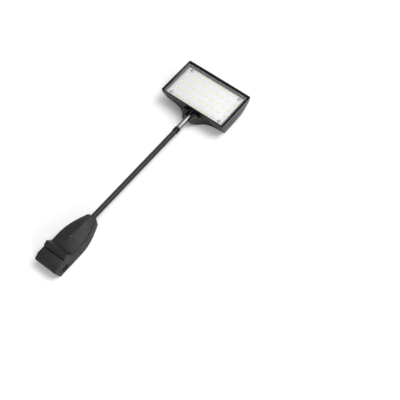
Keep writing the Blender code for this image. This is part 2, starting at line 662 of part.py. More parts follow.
def bezel(mat):
    """Frame round the light face with sloping inner sides and a row of vents along its far side."""
    low = SHELL_RIM + GAP
    ease = 0.0006

    def outer(shrink, z):
        return rounded(HEAD_HALF - shrink, HEAD_NEAR + shrink, HEAD_FAR - shrink, z, HEAD_CORNER)

    def inner(side, near, far, z, radius=0.0010):
        return rounded(WINDOW_HALF + side, WINDOW_NEAR - near, WINDOW_FAR + far, z, radius)
    body = loft("bezel", [outer(0.0004, low), outer(0.0, BEZEL_TOP - ease), outer(ease, BEZEL_TOP)], mat)
    above = BEZEL_TOP + 0.0010
    slope = (above - BEZEL_LEDGE) / (BEZEL_TOP - BEZEL_LEDGE)
    reach = (0.0050, 0.0024, 0.0030)
    cut(body, loft("bezel_window", [
        inner(0, 0, 0, 0.0300), inner(0, 0, 0, BEZEL_LEDGE), inner(*(slope * r for r in reach), above)]))
    lip = LENS_LIP + GAP
    cut(body, box("lens_rebate", (-WINDOW_HALF - lip, WINDOW_NEAR - lip, 0.0),
                  (WINDOW_HALF + lip, WINDOW_FAR + lip, LENS_TOP + GAP)))
    first = -HEAD_HALF + 0.0070
    pitch = -2 * first / (VENT_SLOTS - 1)
    bm = bmesh.new()
    for i in range(VENT_SLOTS):
        middle = Vector((first + i * pitch, WINDOW_FAR + 0.0032, BEZEL_TOP))
        size = Vector((VENT_WIDTH, 0.0044, 0.0044))
        bmesh.ops.create_cube(bm, size=1.0, matrix=Matrix.Translation(middle) @ Matrix.Diagonal((*size, 1)))
    return cut(body, finish("vent_slot_tools", bm))


def lens(mat):
    """Clear cover plate held under the frame's ledge."""
    return box("lens", (-WINDOW_HALF - LENS_LIP, WINDOW_NEAR - LENS_LIP, LENS_TOP - LENS_T),
               (WINDOW_HALF + LENS_LIP, WINDOW_FAR + LENS_LIP, LENS_TOP), mat)


def led_board(mat):
    """White board with its grid of LEDs, four corner places left for the screws."""
    top = BOARD_BOTTOM + BOARD_T
    rim = 0.0006
    board = box("led_board", (-WINDOW_HALF - rim, WINDOW_NEAR - rim, BOARD_BOTTOM),
                (WINDOW_HALF + rim, WINDOW_FAR + rim, top), mat)
    bm = bmesh.new()
    for x, y in led_places():
        size = Vector((LED_SIZE[0], LED_SIZE[1], LED_SIZE[2] * 2))
        place = Matrix.Translation((x, y, top)) @ Matrix.Diagonal((*size, 1.0))
        bmesh.ops.create_cube(bm, size=1.0, matrix=place)
    join(board, finish("led_shapes", bm))
    for i, (x, y) in enumerate(board_screw_places()):
        cut(board, rod(f"board_screw_hole_{i}", BOARD_SCREW_HOLE_R, 0.0, 0.05, "Z", (x, y, 0), steps=12))
    return board


def grid_place(column, row):
    """Place of a grid point counted from the left and from the near side."""
    x = (column - (LED_COLUMNS - 1) / 2) * LED_PITCH_X
    y = GRID_Y + (row - (LED_ROWS - 1) / 2) * LED_PITCH_Y
    return x, y


def corner_points():
    """The four grid points that hold screws."""
    return [(0, 0), (LED_COLUMNS - 1, 0), (0, LED_ROWS - 1), (LED_COLUMNS - 1, LED_ROWS - 1)]


def led_places():
    """Centres of the light emitters."""
    return [grid_place(c, r) for c in range(LED_COLUMNS) for r in range(LED_ROWS)
            if (c, r) not in corner_points() and (c, r) != WIRE_PAD]


def board_screw_places():
    """Centres of the four board screws."""
    return [grid_place(c, r) for c, r in corner_points()]


def heat_sink(mat):
    """Aluminium plate under the board, with fins on its back."""
    half, fin_half = 0.0780, 0.0740
    plate = box("heat_sink", (-half, SINK_NEAR, SINK_BOTTOM), (half, SINK_FAR, SINK_BOTTOM + SINK_T), mat)
    for i in range(SINK_FINS):
        y = SINK_NEAR + 0.0090 + i * FIN_PITCH
        room = SINK_BOTTOM - head_bottom(y + FIN_T) - WALL - 0.0020
        low = SINK_BOTTOM - min(room, FIN_DEPTH)
        join(plate, box(f"fin_{i}", (-fin_half, y, low), (fin_half, y + FIN_T, SINK_BOTTOM + 0.001)))
    for x, y in board_screw_places():
        cut(plate, rod(f"sink_screw_hole_{x}_{y}", BOARD_SCREW_HOLE_R, 0.0, 0.05, "Z", (x, y, 0), steps=12))
    return plate


def head_hardware(mats):
    """The four screws that hold the board down to the posts."""
    top = BOARD_BOTTOM + BOARD_T + GAP
    for (x, y), name in zip(board_screw_places(), ("near_left", "near_right", "far_left", "far_right")):
        pan_screw(f"board_screw_{name}", 0.0016, 0.0030, 0.0010, 0.0052, "Z", (x, y, top), mats["zinc"])


# ---------------------------------------------------------------- leads

def lead(name, points, radius, mat):
    """A round lead through points, with flat ends."""
    curve = bpy.data.curves.new(name, "CURVE")
    curve.dimensions = "3D"
    curve.bevel_depth = radius
    curve.bevel_resolution = 2
    curve.use_fill_caps = True
    spline = curve.splines.new("POLY")
    spline.points.add(len(points) - 1)
    for slot, point in zip(spline.points, points):
        slot.co = (*point, 1.0)
    curve.materials.append(mat)
    obj = bpy.data.objects.new(name, curve)
    bpy.context.scene.collection.objects.link(obj)
    return obj


def bezier(a, b, c, d, steps):
    """Points of a cubic curve."""
    a, b, c, d = Vector(a), Vector(b), Vector(c), Vector(d)
    out = []
    for i in range(steps + 1):
        t = i / steps
        u = 1 - t
        out.append(a * u ** 3 + b * 3 * u * u * t + c * 3 * u * t * t + d * t ** 3)
    return out


def socket_leads(mats):
    """Short leads from the backs of the two sockets down to the driver board."""
    for name, side in (("inlet_lead", 1), ("link_lead", -1)):
        start = (side * (SOCKET_BACK_X - 0.0005), SOCKET_Y, SOCKET_Z)
        end = (side * 0.0090, -0.2530, DRIVER_Z + DRIVER_T + 0.0020)
        points = bezier(start, (side * 0.0040, SOCKET_Y, SOCKET_Z), (side * 0.0080, -0.2600, end[2]), end, 10)
        lead(name, points, LEAD_R, mats["cable"])


def supply_lead(mats):
    """One lead from the driver through the arm, past the hinge screw and up to the light board."""
    rise = ARM_Z + LEAD_OVER_SCREW
    points = bezier((0, -0.1840, 0.0125), (0, -0.1790, 0.0135), (0, -0.1740, ARM_Z), (0, -0.1660, ARM_Z), 6)
    points += [Vector((0, y, ARM_Z)) for y in stations(-0.1000, PIVOT_Y - 0.0425, 4)]
    points += bezier((0, PIVOT_Y - 0.0250, ARM_Z), (0, PIVOT_Y - 0.0160, ARM_Z), (0, PIVOT_Y - 0.0120, rise),
                     (0, PIVOT_Y - 0.0045, rise), 6)
    points += [Vector((0, PIVOT_Y, rise))]
    points += bezier((0, PIVOT_Y + 0.0060, rise), (0, PIVOT_Y + 0.0110, rise), (0, PIVOT_Y + 0.0085, 0.0276),
                     (0, PIVOT_Y + 0.0140, 0.0280), 10)
    points += bezier((0, PIVOT_Y + 0.0160, 0.0281), (0, PIVOT_Y + 0.0185, 0.0282), (0, PIVOT_Y + 0.0200, 0.0290),
                     (0, PIVOT_Y + 0.0200, BOARD_BOTTOM - GAP), 5)
    lead("supply_lead", points, LEAD_R, mats["cable"])


def hang_on_pivot():
    """Give every piece of the lamp head its origin on the tilt axis."""
    pivot = Vector((0, PIVOT_Y, ARM_Z))
    names = ["head_shell", "bezel", "lens", "led_board", "heat_sink", "hinge_screw", "hinge_nut",
             "hinge_washer_left", "hinge_washer_right"]
    names += [f"board_screw_{place}" for place in ("near_left", "near_right", "far_left", "far_right")]
    for name in names:
        obj = bpy.data.objects[name]
        obj.data.transform(Matrix.Translation(-pivot))
        obj.location = pivot


def main():
    """Build every piece."""
    clear_scene()
    mats = {
        "housing": material("housing_plastic", BLACK_PLASTIC, 0.45),
        "black": material("black_plastic", BLACK_PLASTIC, 0.35),
        "head": material("head_plastic", BLACK_PLASTIC, 0.40),
        "arm": material("arm_paint", SATIN_BLACK, 0.35),
        "chrome": material("chrome", (0.80, 0.80, 0.80), 0.08, 1.0),
        "steel": material("steel", (0.55, 0.55, 0.56), 0.30, 1.0),
        "zinc": material("zinc_screw", (0.50, 0.50, 0.50), 0.35, 1.0),
        "brass": material("brass", (0.75, 0.60, 0.30), 0.30, 1.0),
        "board": material("led_board_white", BOARD_WHITE, 0.40),
        "clear": material("clear_lens", (0.95, 0.95, 0.95), 0.05, 0.0, 0.25),
        "alloy": material("aluminium", (0.70, 0.70, 0.71), 0.40, 1.0),
        "laminate": material("circuit_board", (0.03, 0.20, 0.08), 0.50),
        "ferrite": material("ferrite", (0.06, 0.06, 0.06), 0.60),
        "sleeve": material("capacitor_sleeve", (0.03, 0.03, 0.10), 0.40),
        "cable": material("cable_sheath", (0.03, 0.03, 0.03), 0.45),
    }
    base_shell(mats["housing"])
    top_cover(mats["housing"])
    end_cap(mats["housing"])
    arm_bush(mats["black"])
    for side, name in ((1, "inlet_socket"), (-1, "link_socket")):
        socket(name, side, mats["black"])
        for end, label in ((-1, "rear"), (1, "front")):
            socket_pin(f"{name}_pin_{label}", side, end, mats["brass"])
    driver_board(mats["laminate"])
    driver_parts(mats)
    pan_screw("cover_screw", 0.0015, 0.0029, 0.0016, 0.0110, "Z", (0, COVER_SCREW_Y, COVER_SCREW_SEAT + GAP),
              mats["zinc"])
    arm_pieces(mats)
    hinge_tube(mats["chrome"])
    hinge_hardware(mats)
    head_shell(mats["head"])
    bezel(mats["black"])
    lens(mats["clear"])
    led_board(mats["board"])
    heat_sink(mats["alloy"])
    head_hardware(mats)
    supply_lead(mats)
    socket_leads(mats)
    hang_on_pivot()


main()
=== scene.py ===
"""Looks of an LED picture light: driver housing, straight arm, friction hinge and a flat lamp head.

The arm runs along +Y from the housing to the head, the head's long side is along X and its light
goes up along +Z.  Sizes are metres.  Each sub-assembly is a class that models its pieces and gives
them their finishes; the studio class adds the floor, the lights and the camera.
"""

import logging
import math
from collections.abc import Callable
from dataclasses import dataclass
from enum import Enum
from typing import ClassVar

import bpy
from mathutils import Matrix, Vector


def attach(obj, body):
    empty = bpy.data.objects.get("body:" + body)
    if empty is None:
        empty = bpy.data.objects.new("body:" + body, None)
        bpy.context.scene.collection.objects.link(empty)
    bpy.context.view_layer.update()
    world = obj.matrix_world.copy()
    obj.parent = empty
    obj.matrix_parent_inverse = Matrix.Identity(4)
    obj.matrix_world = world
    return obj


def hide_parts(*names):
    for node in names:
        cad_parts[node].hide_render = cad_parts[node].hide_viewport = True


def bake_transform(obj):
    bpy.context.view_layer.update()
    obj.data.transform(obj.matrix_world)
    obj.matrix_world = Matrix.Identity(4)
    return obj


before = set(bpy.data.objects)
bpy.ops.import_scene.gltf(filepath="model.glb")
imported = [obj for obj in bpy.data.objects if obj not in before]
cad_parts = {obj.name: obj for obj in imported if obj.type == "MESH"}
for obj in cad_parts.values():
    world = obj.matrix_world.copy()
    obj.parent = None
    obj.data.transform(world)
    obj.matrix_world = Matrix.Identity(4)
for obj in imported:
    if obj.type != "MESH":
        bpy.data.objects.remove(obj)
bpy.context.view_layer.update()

LOG = logging.getLogger("picture_light")
Colour = tuple[float, float, float]
Point = tuple[float, float, float]
Pair = tuple[float, float]
Profile = tuple[Pair, ...]
Piece = bpy.types.Object
Tree = bpy.types.NodeTree
Socket = bpy.types.NodeSocket

GAP = 0.0003  # clearance between touching pieces
ARM_Z = 0.018  # height of the arm's centre line
PIVOT_Y = 0.174  # place of the hinge along the arm
HOUSING_BODY = "housing_and_arm"
HEAD_BODY = "lamp_head"
POINT_MERGE = 1e-6  # closer points are one point
COPY_MERGE = 0.00045  # the same for a copied frame node
FLAT_ANGLE = 0.2  # degrees; faces closer to level than this are one face
QUAD_FACE_ANGLE = 12.0  # degrees; pairing triangles into quads
QUAD_SHAPE_ANGLE = 70.0
TUBE_SIDES = 72  # faces round a tube
CURVE_STEPS = 8  # points between two knots of a bent bar
ROUND_ANGLE = 50.0  # degrees; shading of round bars
METAL_ANGLE = 40.0  # degrees; shading of turned metal
BLUNT_ANGLE = 60.0  # degrees; the smallest pieces


class Axis(Enum):
    """Direction that a turned piece is built along."""

    X = (1.0, 0.0, 0.0)
    Y = (0.0, 1.0, 0.0)
    Z = (0.0, 0.0, 1.0)


class Grain(Enum):
    """Kind of fine surface relief."""

    SPARK = "spark"  # matt moulding texture, small pits
    PEEL = "peel"  # soft waves of sprayed paint
    FLOW = "flow"  # long faint lines, as on drawn or brushed metal
    MOULDED = "moulded"  # nearly smooth moulding with slight sink


# ------------------------ finishes

@dataclass(frozen=True)
class Finish:
    """One surface finish and how it varies over a piece."""

    SHADE_RANGE: ClassVar[Pair] = (0.3, 0.72)  # noise where the two shades blend
    SHADE_DETAIL: ClassVar[float] = 5.0
    SCUFF_RANGE: ClassVar[Pair] = (0.58, 0.72)  # noise where a scuff fades in
    SCUFF_STRENGTH: ClassVar[float] = 0.7
    SCUFF_SHARE: ClassVar[float] = 0.12  # scuff size as a share of a patch
    GLOSS_RANGE: ClassVar[Pair] = (0.3, 0.7)  # noise from dull to glossy
    GLOSS_SHARE: ClassVar[float] = 0.4  # gloss mark as a share of a patch
    MARK_DETAIL: ClassVar[float] = 6.0

    name: str
    slot: str
    colour: Colour
    second: Colour
    patch: float = 0.03
    rough: Pair = (0.35, 0.45)
    metallic: float = 0.0
    grain: Grain = Grain.MOULDED
    grain_size: float = 0.0006
    grain_height: float = 0.00002
    stretch: Point = (1.0, 1.0, 1.0)
    worn: Colour | None = None
    alpha: float = 1.0
    specular: float = 0.5

    def material(self) -> bpy.types.Material:
        """Build the finish once and hand out the same material afterwards.

        Returns:
            The node material of this finish.
        """
        known = bpy.data.materials.get(self.name)
        if known is not None:
            return known
        made = bpy.data.materials.new(self.name)
        made.use_nodes = True
        tree = made.node_tree
        shader = tree.nodes["Principled BSDF"]
        shader.inputs["Metallic"].default_value = self.metallic
        shader.inputs["Alpha"].default_value = self.alpha
        shader.inputs["Specular IOR Level"].default_value = self.specular
        place = self.coordinates(tree)
        tree.links.new(self.colouring(tree, place), shader.inputs["Base Color"])
        tree.links.new(self.roughness(tree, place), shader.inputs["Roughness"])
        tree.links.new(self.relief(tree, place), shader.inputs["Normal"])
        return made

    def coordinates(self, tree: Tree) -> Socket:
        """Object coordinates, stretched the way the surface was worked.

        Args:
            tree: The material's nodes.

        Returns:
            The vector output to read patterns from.
        """
        coordinate = tree.nodes.new("ShaderNodeTexCoord")
        mapping = tree.nodes.new("ShaderNodeMapping")
        mapping.inputs["Scale"].default_value = self.stretch
        tree.links.new(coordinate.outputs["Object"], mapping.inputs["Vector"])
        return mapping.outputs["Vector"]

    def noise(self, tree: Tree, place: Socket, size: float,
              detail: float) -> Socket:
        """A noise pattern of a real size.

        Args:
            tree: The material's nodes.
            place: Output that positions it.
            size: Rough size of one blob in metres.
            detail: Number of finer layers.

        Returns:
            The noise value.
        """
        noise = tree.nodes.new("ShaderNodeTexNoise")
        noise.inputs["Scale"].default_value = 1.0 / size
        noise.inputs["Detail"].default_value = detail
        tree.links.new(place, noise.inputs["Vector"])
        return noise.outputs["Fac"]

    def colouring(self, tree: Tree, place: Socket) -> Socket:
        """Two shades in soft patches, and small scuffs where the finish has a worn shade.

        Args:
            tree: The material's nodes.
            place: Output that positions it.

        Returns:
            The colour output.
        """
        ramp = tree.nodes.new("ShaderNodeValToRGB")
        shades = zip(ramp.color_ramp.elements, self.SHADE_RANGE, (self.colour, self.second))
        for element, position, colour in shades:
            element.position = position
            element.color = (*colour, 1.0)
        tree.links.new(self.noise(tree, place, self.patch, self.SHADE_DETAIL), ramp.inputs["Fac"])
        if self.worn is None:
            return ramp.outputs["Color"]
        scuffs = tree.nodes.new("ShaderNodeMapRange")
        scuffs.inputs["From Min"].default_value = self.SCUFF_RANGE[0]
        scuffs.inputs["From Max"].default_value = self.SCUFF_RANGE[1]
        scuffs.inputs["To Max"].default_value = self.SCUFF_STRENGTH
        marks = self.noise(tree, place, self.patch * self.SCUFF_SHARE, self.MARK_DETAIL)
        tree.links.new(marks, scuffs.inputs["Value"])
        worn = tree.nodes.new("ShaderNodeMix")
        worn.data_type = "RGBA"
        worn.inputs["B"].default_value = (*self.worn, 1.0)
        tree.links.new(scuffs.outputs["Result"], worn.inputs["Factor"])
        tree.links.new(ramp.outputs["Color"], worn.inputs["A"])
        return worn.outputs["Result"]

    def roughness(self, tree: Tree, place: Socket) -> Socket:
        """Gloss that changes with handling marks.

        Args:
            tree: The material's nodes.
            place: Output that positions it.

        Returns:
            The roughness value.
        """
        spread = tree.nodes.new("ShaderNodeMapRange")
        spread.inputs["From Min"].default_value = self.GLOSS_RANGE[0]
        spread.inputs["From Max"].default_value = self.GLOSS_RANGE[1]
        spread.inputs["To Min"].default_value = self.rough[0]
        spread.inputs["To Max"].default_value = self.rough[1]
        marks = self.noise(tree, place, self.patch * self.GLOSS_SHARE, self.MARK_DETAIL)
        tree.links.new(marks, spread.inputs["Value"])
        return spread.outputs["Result"]

    def relief(self, tree: Tree, place: Socket) -> Socket:
        """Fine relief of the surface as a bump.

        Args:
            tree: The material's nodes.
            place: Output that positions it.

        Returns:
            The normal output.
        """
        bump = tree.nodes.new("ShaderNodeBump")
        bump.inputs["Strength"].default_value = 1.0
        bump.inputs["Distance"].default_value = self.grain_height
        if self.grain is Grain.SPARK:
            pits = tree.nodes.new("ShaderNodeTexVoronoi")
            pits.inputs["Scale"].default_value = 1.0 / self.grain_size
            tree.links.new(place, pits.inputs["Vector"])
            height = pits.outputs["Distance"]
        else:
            detail = {Grain.MOULDED: 2.0, Grain.PEEL: 1.0, Grain.FLOW: 5.0}[self.grain]
            height = self.noise(tree, place, self.grain_size, detail)
        tree.links.new(height, bump.inputs["Height"])
        return bump.outputs["Normal"]


@dataclass(frozen=True)
class BoardFinish(Finish):
    """White solder mask with faint conductor tracks under it."""

    track: Colour = (0.64, 0.64, 0.635)
    track_pitch: float = 0.0095
    track_width: float = 0.012  # as a share of the pattern
    track_fade: float = 0.3

    def colouring(self, tree: Tree, place: Socket) -> Socket:
        """Mask colour with slightly darker tracks in a brick-like layout.

        Args:
            tree: The material's nodes.
            place: Output that positions it.

        Returns:
            The colour output.
        """
        tracks = tree.nodes.new("ShaderNodeTexBrick")
        tracks.inputs["Scale"].default_value = 0.5 / self.track_pitch
        tracks.inputs["Mortar Size"].default_value = self.track_width
        tracks.inputs["Mortar Smooth"].default_value = self.track_fade
        tracks.inputs["Color1"].default_value = (*self.colour, 1.0)
        tracks.inputs["Color2"].default_value = (*self.second, 1.0)
        tracks.inputs["Mortar"].default_value = (*self.track, 1.0)
        tree.links.new(place, tracks.inputs["Vector"])
        return tracks.outputs["Color"]


HOUSING_PLASTIC = Finish(
    "satin_housing_plastic", "housing_plastic", (0.0098, 0.0088, 0.0084), (0.015, 0.0134, 0.0126),
    rough=(0.48, 0.58), grain=Grain.SPARK, grain_size=0.00045, grain_height=0.00003,
    specular=0.32, worn=(0.026, 0.024, 0.023))
HEAD_PLASTIC = Finish(
    "satin_head_plastic", "head_plastic", (0.0085, 0.0085, 0.0088), (0.0125, 0.0122, 0.012),
    rough=(0.36, 0.46), grain=Grain.SPARK, grain_size=0.0004, grain_height=0.000018,
    specular=0.32, worn=(0.022, 0.022, 0.022))
GLOSS_PLASTIC = Finish(
    "gloss_black_plastic", "black_plastic", (0.004, 0.0036, 0.0036), (0.0065, 0.0058, 0.0056),
    patch=0.02, rough=(0.12, 0.2), grain_size=0.004, grain_height=0.00002, specular=0.22)
# grey of the thin bars on the gloss black frame: painted highlight, not a grey plastic
FRAME_HIGHLIGHT_PAINT = Finish(
    "painted_frame_highlight", "black_plastic", (0.36, 0.36, 0.36), (0.44, 0.44, 0.44), patch=0.02,
    rough=(0.25, 0.35), grain_size=0.002, grain_height=0.00001)
SOCKET_PLASTIC = Finish(
    "socket_plastic", "black_plastic", (0.012, 0.012, 0.013), (0.018, 0.018, 0.018), patch=0.008,
    rough=(0.3, 0.42), grain=Grain.SPARK, grain_size=0.0004)
ARM_PAINT = Finish(
    "black_arm_paint", "arm_paint", (0.007, 0.007, 0.0074), (0.011, 0.0105, 0.0105),
    rough=(0.44, 0.52), grain=Grain.PEEL, grain_size=0.0011, grain_height=0.000012, specular=0.36,
    worn=(0.022, 0.021, 0.021))
CHROME = Finish(
    "bright_chrome", "chrome", (0.22, 0.22, 0.225), (0.26, 0.26, 0.26), patch=0.012,
    rough=(0.34, 0.4), metallic=1.0, grain=Grain.FLOW, grain_size=0.001, grain_height=0.0000012,
    stretch=(1.0, 4.0, 1.0))
STEEL = Finish(
    "hinge_steel", "steel", (0.42, 0.42, 0.43), (0.55, 0.55, 0.55), patch=0.006,
    rough=(0.24, 0.38), metallic=1.0, grain=Grain.FLOW, grain_height=0.000006,
    stretch=(0.3, 2.0, 2.0))
ZINC = Finish(
    "zinc_plate", "zinc_screw", (0.4, 0.4, 0.41), (0.52, 0.52, 0.5), patch=0.004,
    rough=(0.3, 0.45), metallic=1.0, grain=Grain.FLOW, grain_height=0.000006)
# near-black finish of the bars that paint the shadow in the seam between tub and cover
PAINTED_SHADOW_IN_SEAM = Finish(
    "painted_shadow_in_seam", "housing_plastic", (0.0015, 0.0014, 0.0014), (0.0025, 0.0023, 0.0022),
    rough=(0.8, 0.9), grain_size=0.0008, grain_height=0.00001, specular=0.05)
DARK_SCREW = Finish(
    "blackened_screw", "zinc_screw", (0.075, 0.075, 0.077), (0.12, 0.12, 0.12), patch=0.003,
    rough=(0.38, 0.52), metallic=1.0, grain=Grain.FLOW, grain_height=0.000006)
# grey tinned metal of the screw lands; the same finish colours the loop that paints the reflection
# of the clear cover's lip on the board
TINNED_AND_LIP_REFLECTION = Finish(
    "tinned_land_and_lip_reflection", "led_board_white", (0.3, 0.3, 0.3), (0.4, 0.4, 0.4), patch=0.003,
    rough=(0.4, 0.55), metallic=0.6, grain_size=0.0006, grain_height=0.00002)
BRASS = Finish(
    "contact_brass", "brass", (0.62, 0.47, 0.22), (0.74, 0.6, 0.32), patch=0.003,
    rough=(0.22, 0.36), metallic=1.0, grain=Grain.FLOW, grain_height=0.000005)
SOLDER = Finish(
    "solder", "led_board_white", (0.34, 0.34, 0.35), (0.46, 0.46, 0.46), patch=0.002,
    rough=(0.34, 0.5), metallic=0.8, grain_size=0.0005, grain_height=0.00003)
WHITE_MASK = BoardFinish(
    "white_board", "led_board_white", (0.665, 0.668, 0.68), (0.64, 0.643, 0.655),
    rough=(0.3, 0.42), grain_size=0.0012, grain_height=0.00001)
LED_CASE = Finish(
    "emitter_case", "led_board_white", (0.66, 0.73, 0.27), (0.7, 0.77, 0.33), patch=0.002,
    rough=(0.35, 0.48), grain_height=0.000008)
PHOSPHOR = Finish(
    "emitter_phosphor", "led_board_white", (0.68, 0.8, 0.15), (0.75, 0.86, 0.22), patch=0.0014,
    rough=(0.28, 0.42), grain_size=0.0003, grain_height=0.00002)
CLEAR = Finish(
    "clear_cover", "clear_lens", (0.92, 0.94, 0.94), (0.96, 0.97, 0.97), patch=0.05,
    rough=(0.02, 0.06), grain_size=0.03, grain_height=0.00002, alpha=0.04)
ALUMINIUM = Finish(
    "extruded_aluminium", "aluminium", (0.52, 0.52, 0.53), (0.64, 0.64, 0.64), patch=0.012,
    rough=(0.32, 0.46), metallic=1.0, grain=Grain.FLOW, grain_height=0.000012,
    stretch=(0.1, 2.0, 2.0))
LAMINATE = Finish(
    "green_laminate", "circuit_board", (0.02, 0.135, 0.05), (0.03, 0.18, 0.07), patch=0.006,
    rough=(0.34, 0.48), grain_size=0.0008, grain_height=0.000015)
FERRITE = Finish(
    "dull_ferrite", "ferrite", (0.04, 0.04, 0.042), (0.07, 0.068, 0.066), patch=0.005,
    rough=(0.5, 0.66), grain=Grain.SPARK, grain_size=0.0005)
SLEEVE = Finish(
    "capacitor_sleeve", "capacitor_sleeve", (0.022, 0.024, 0.085), (0.032, 0.036, 0.11),
    patch=0.008, rough=(0.26, 0.38), grain_size=0.003)
SHEATH = Finish(
    "lead_sheath", "cable_sheath", (0.022, 0.022, 0.023), (0.034, 0.034, 0.034), patch=0.01,
    rough=(0.34, 0.48), grain_size=0.001, grain_height=0.000015)


# ------------------------ bench tools

def deselect() -> None:
    """Select nothing."""
    bpy.ops.object.select_all(action="DESELECT")


def take(obj: Piece) -> None:
    """Make one object the only selected and active one.

    Args:
        obj: Object to take.
    """
    deselect()
    obj.select_set(True)
    bpy.context.view_layer.objects.active = obj


def settle(obj: Piece) -> None:
    """Bring an object's place, turn and scale into its mesh.

    Args:
        obj: Mesh object.
    """
    take(obj)
    bpy.ops.object.transform_apply(location=True, rotation=True, scale=True)


def pick_faces(obj: Piece, test: Callable[[Vector, Vector], bool]) -> None:
    """Open a mesh for editing with the faces selected that pass a test.

    Args:
        obj: Mesh object.
        test: Takes a face's middle and normal and says whether it is wanted.
    """
    take(obj)
    mesh = obj.data
    wanted = [test(polygon.center, polygon.normal) for polygon in mesh.polygons]
    mesh.vertices.foreach_set("select", [False] * len(mesh.vertices))
    mesh.edges.foreach_set("select", [False] * len(mesh.edges))
    mesh.polygons.foreach_set("select", wanted)
    bpy.context.tool_settings.mesh_select_mode = (False, False, True)
    bpy.ops.object.mode_set(mode="EDIT")


def pick_all(obj: Piece) -> None:
    """Open a mesh for editing with everything selected.

    Args:
        obj: Mesh object.
    """
    take(obj)
    bpy.context.tool_settings.mesh_select_mode = (True, False, False)
    bpy.ops.object.mode_set(mode="EDIT")
    bpy.ops.mesh.select_all(action="SELECT")


def close() -> None:
    """Leave edit mode."""
    bpy.ops.object.mode_set(mode="OBJECT")


def weld(obj: Piece, distance: float = POINT_MERGE) -> None:
    """Merge doubled points and turn all faces outwards.

    Args:
        obj: Mesh object.
        distance: Points closer than this are merged.
    """
    pick_all(obj)
    bpy.ops.mesh.remove_doubles(threshold=distance)
    bpy.ops.mesh.normals_make_consistent(inside=False)
    close()


def soften(obj: Piece, width: float, angle: float = 35.0, segments: int = 2,
           clamp: bool = True) -> None:
    """Round the sharp edges of a mesh.

    Args:
        obj: Mesh object.
        width: Width of the rounding in metres.
        angle: Edges sharper than this many degrees are rounded.
        segments: Number of faces across the rounding.
        clamp: Whether short edges hold the width back.
    """
    take(obj)
    bevel = obj.modifiers.new("Softened edges", "BEVEL")
    bevel.width = width
    bevel.segments = segments
    bevel.limit_method = "ANGLE"
    bevel.angle_limit = math.radians(angle)
    bevel.use_clamp_overlap = clamp
    bpy.ops.object.modifier_apply(modifier=bevel.name)


def shade(obj: Piece, angle: float = 32.0) -> None:
    """Shade a mesh smooth across its flatter edges.

    Args:
        obj: Mesh object.
        angle: Edges sharper than this many degrees stay sharp.
    """
    take(obj)
    bpy.ops.object.shade_smooth_by_angle(angle=math.radians(angle))


def cut_away(obj: Piece, tool: Piece) -> None:
    """Take a tool shape out of a piece and remove the tool.

    Args:
        obj: Piece to cut.
        tool: Closed shape that is taken away.
    """
    take(obj)
    modifier = obj.modifiers.new("Cut", "BOOLEAN")
    modifier.operation = "DIFFERENCE"
    modifier.solver = "EXACT"
    modifier.object = tool
    bpy.ops.object.modifier_apply(modifier=modifier.name)
    bpy.data.objects.remove(tool, do_unlink=True)


def block(name: str, low: Point, high: Point) -> Piece:
    """A block between two corners, ready to be shaped.

    Args:
        name: Name of the piece.
        low: Lowest corner.
        high: Highest corner.

    Returns:
        The new object.
    """
    deselect()
    middle = (Vector(low) + Vector(high)) / 2
    bpy.ops.mesh.primitive_cube_add(size=1.0, location=middle, scale=Vector(high) - Vector(low))
    obj = bpy.context.object
    obj.name = obj.data.name = name
    settle(obj)
    return obj


def turned(name: str, profile: Profile, axis: Axis, centre: Point, sides: int,
           hollow: bool = False) -> Piece:
    """A piece turned round an axis, drawn out ring by ring from a circle.

    Args:
        name: Name of the piece.
        profile: Pairs of radius and distance along the axis.
        axis: Axis that the piece is turned round.
        centre: Point on the axis that the distances start from.
        sides: Number of faces round the piece.
        hollow: Whether the profile closes on itself, as for a tube or washer.

    Returns:
        The new object, its faces outwards.
    """
    deselect()
    along = Vector(axis.value)
    across = Vector((1.0, 1.0, 1.0)) - along
    quarter = math.pi / 2
    turn = {Axis.X: (0.0, quarter, 0.0), Axis.Y: (-quarter, 0.0, 0.0), Axis.Z: (0.0, 0.0, 0.0)}
    radius, height = profile[0]
    bpy.ops.mesh.primitive_circle_add(vertices=sides, radius=radius, rotation=turn[axis],
                                      fill_type="NOTHING" if hollow else "NGON",
                                      location=Vector(centre) + along * height)
    obj = bpy.context.object
    obj.name = obj.data.name = name
    settle(obj)
    pick_all(obj)
    rest = profile[1:] + profile[:1] if hollow else profile[1:]
    for next_radius, next_height in rest:
        step = along * (next_height - height)
        bpy.ops.mesh.extrude_region_move(TRANSFORM_OT_translate={"value": step})
        share = next_radius / radius
        if abs(share - 1.0) > 1e-9:
            bpy.ops.transform.resize(value=along + across * share,
                                     center_override=Vector(centre) + along * next_height)
        radius, height = next_radius, next_height
    close()
    weld(obj)
    return obj


def copied(node: str, name: str) -> Piece:
    """A clean copy of a frame node, merged and flattened into whole faces.

    Args:
        node: Name of the frame node.
        name: Name of the new piece.

    Returns:
        The new object, its close points merged so that its edges can be rounded evenly.
    """
    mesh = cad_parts[node].data.copy()
    mesh.name = name
    mesh.materials.clear()
    obj = bpy.data.objects.new(name, mesh)
    bpy.context.scene.collection.objects.link(obj)
    take(obj)
    bpy.ops.mesh.customdata_custom_splitnormals_clear()
    weld(obj, COPY_MERGE)
    pick_all(obj)
    bpy.ops.mesh.dissolve_limited(angle_limit=math.radians(FLAT_ANGLE))
    bpy.ops.mesh.tris_convert_to_quads(face_threshold=math.radians(QUAD_FACE_ANGLE),
                                       shape_threshold=math.radians(QUAD_SHAPE_ANGLE))
    close()
    return obj


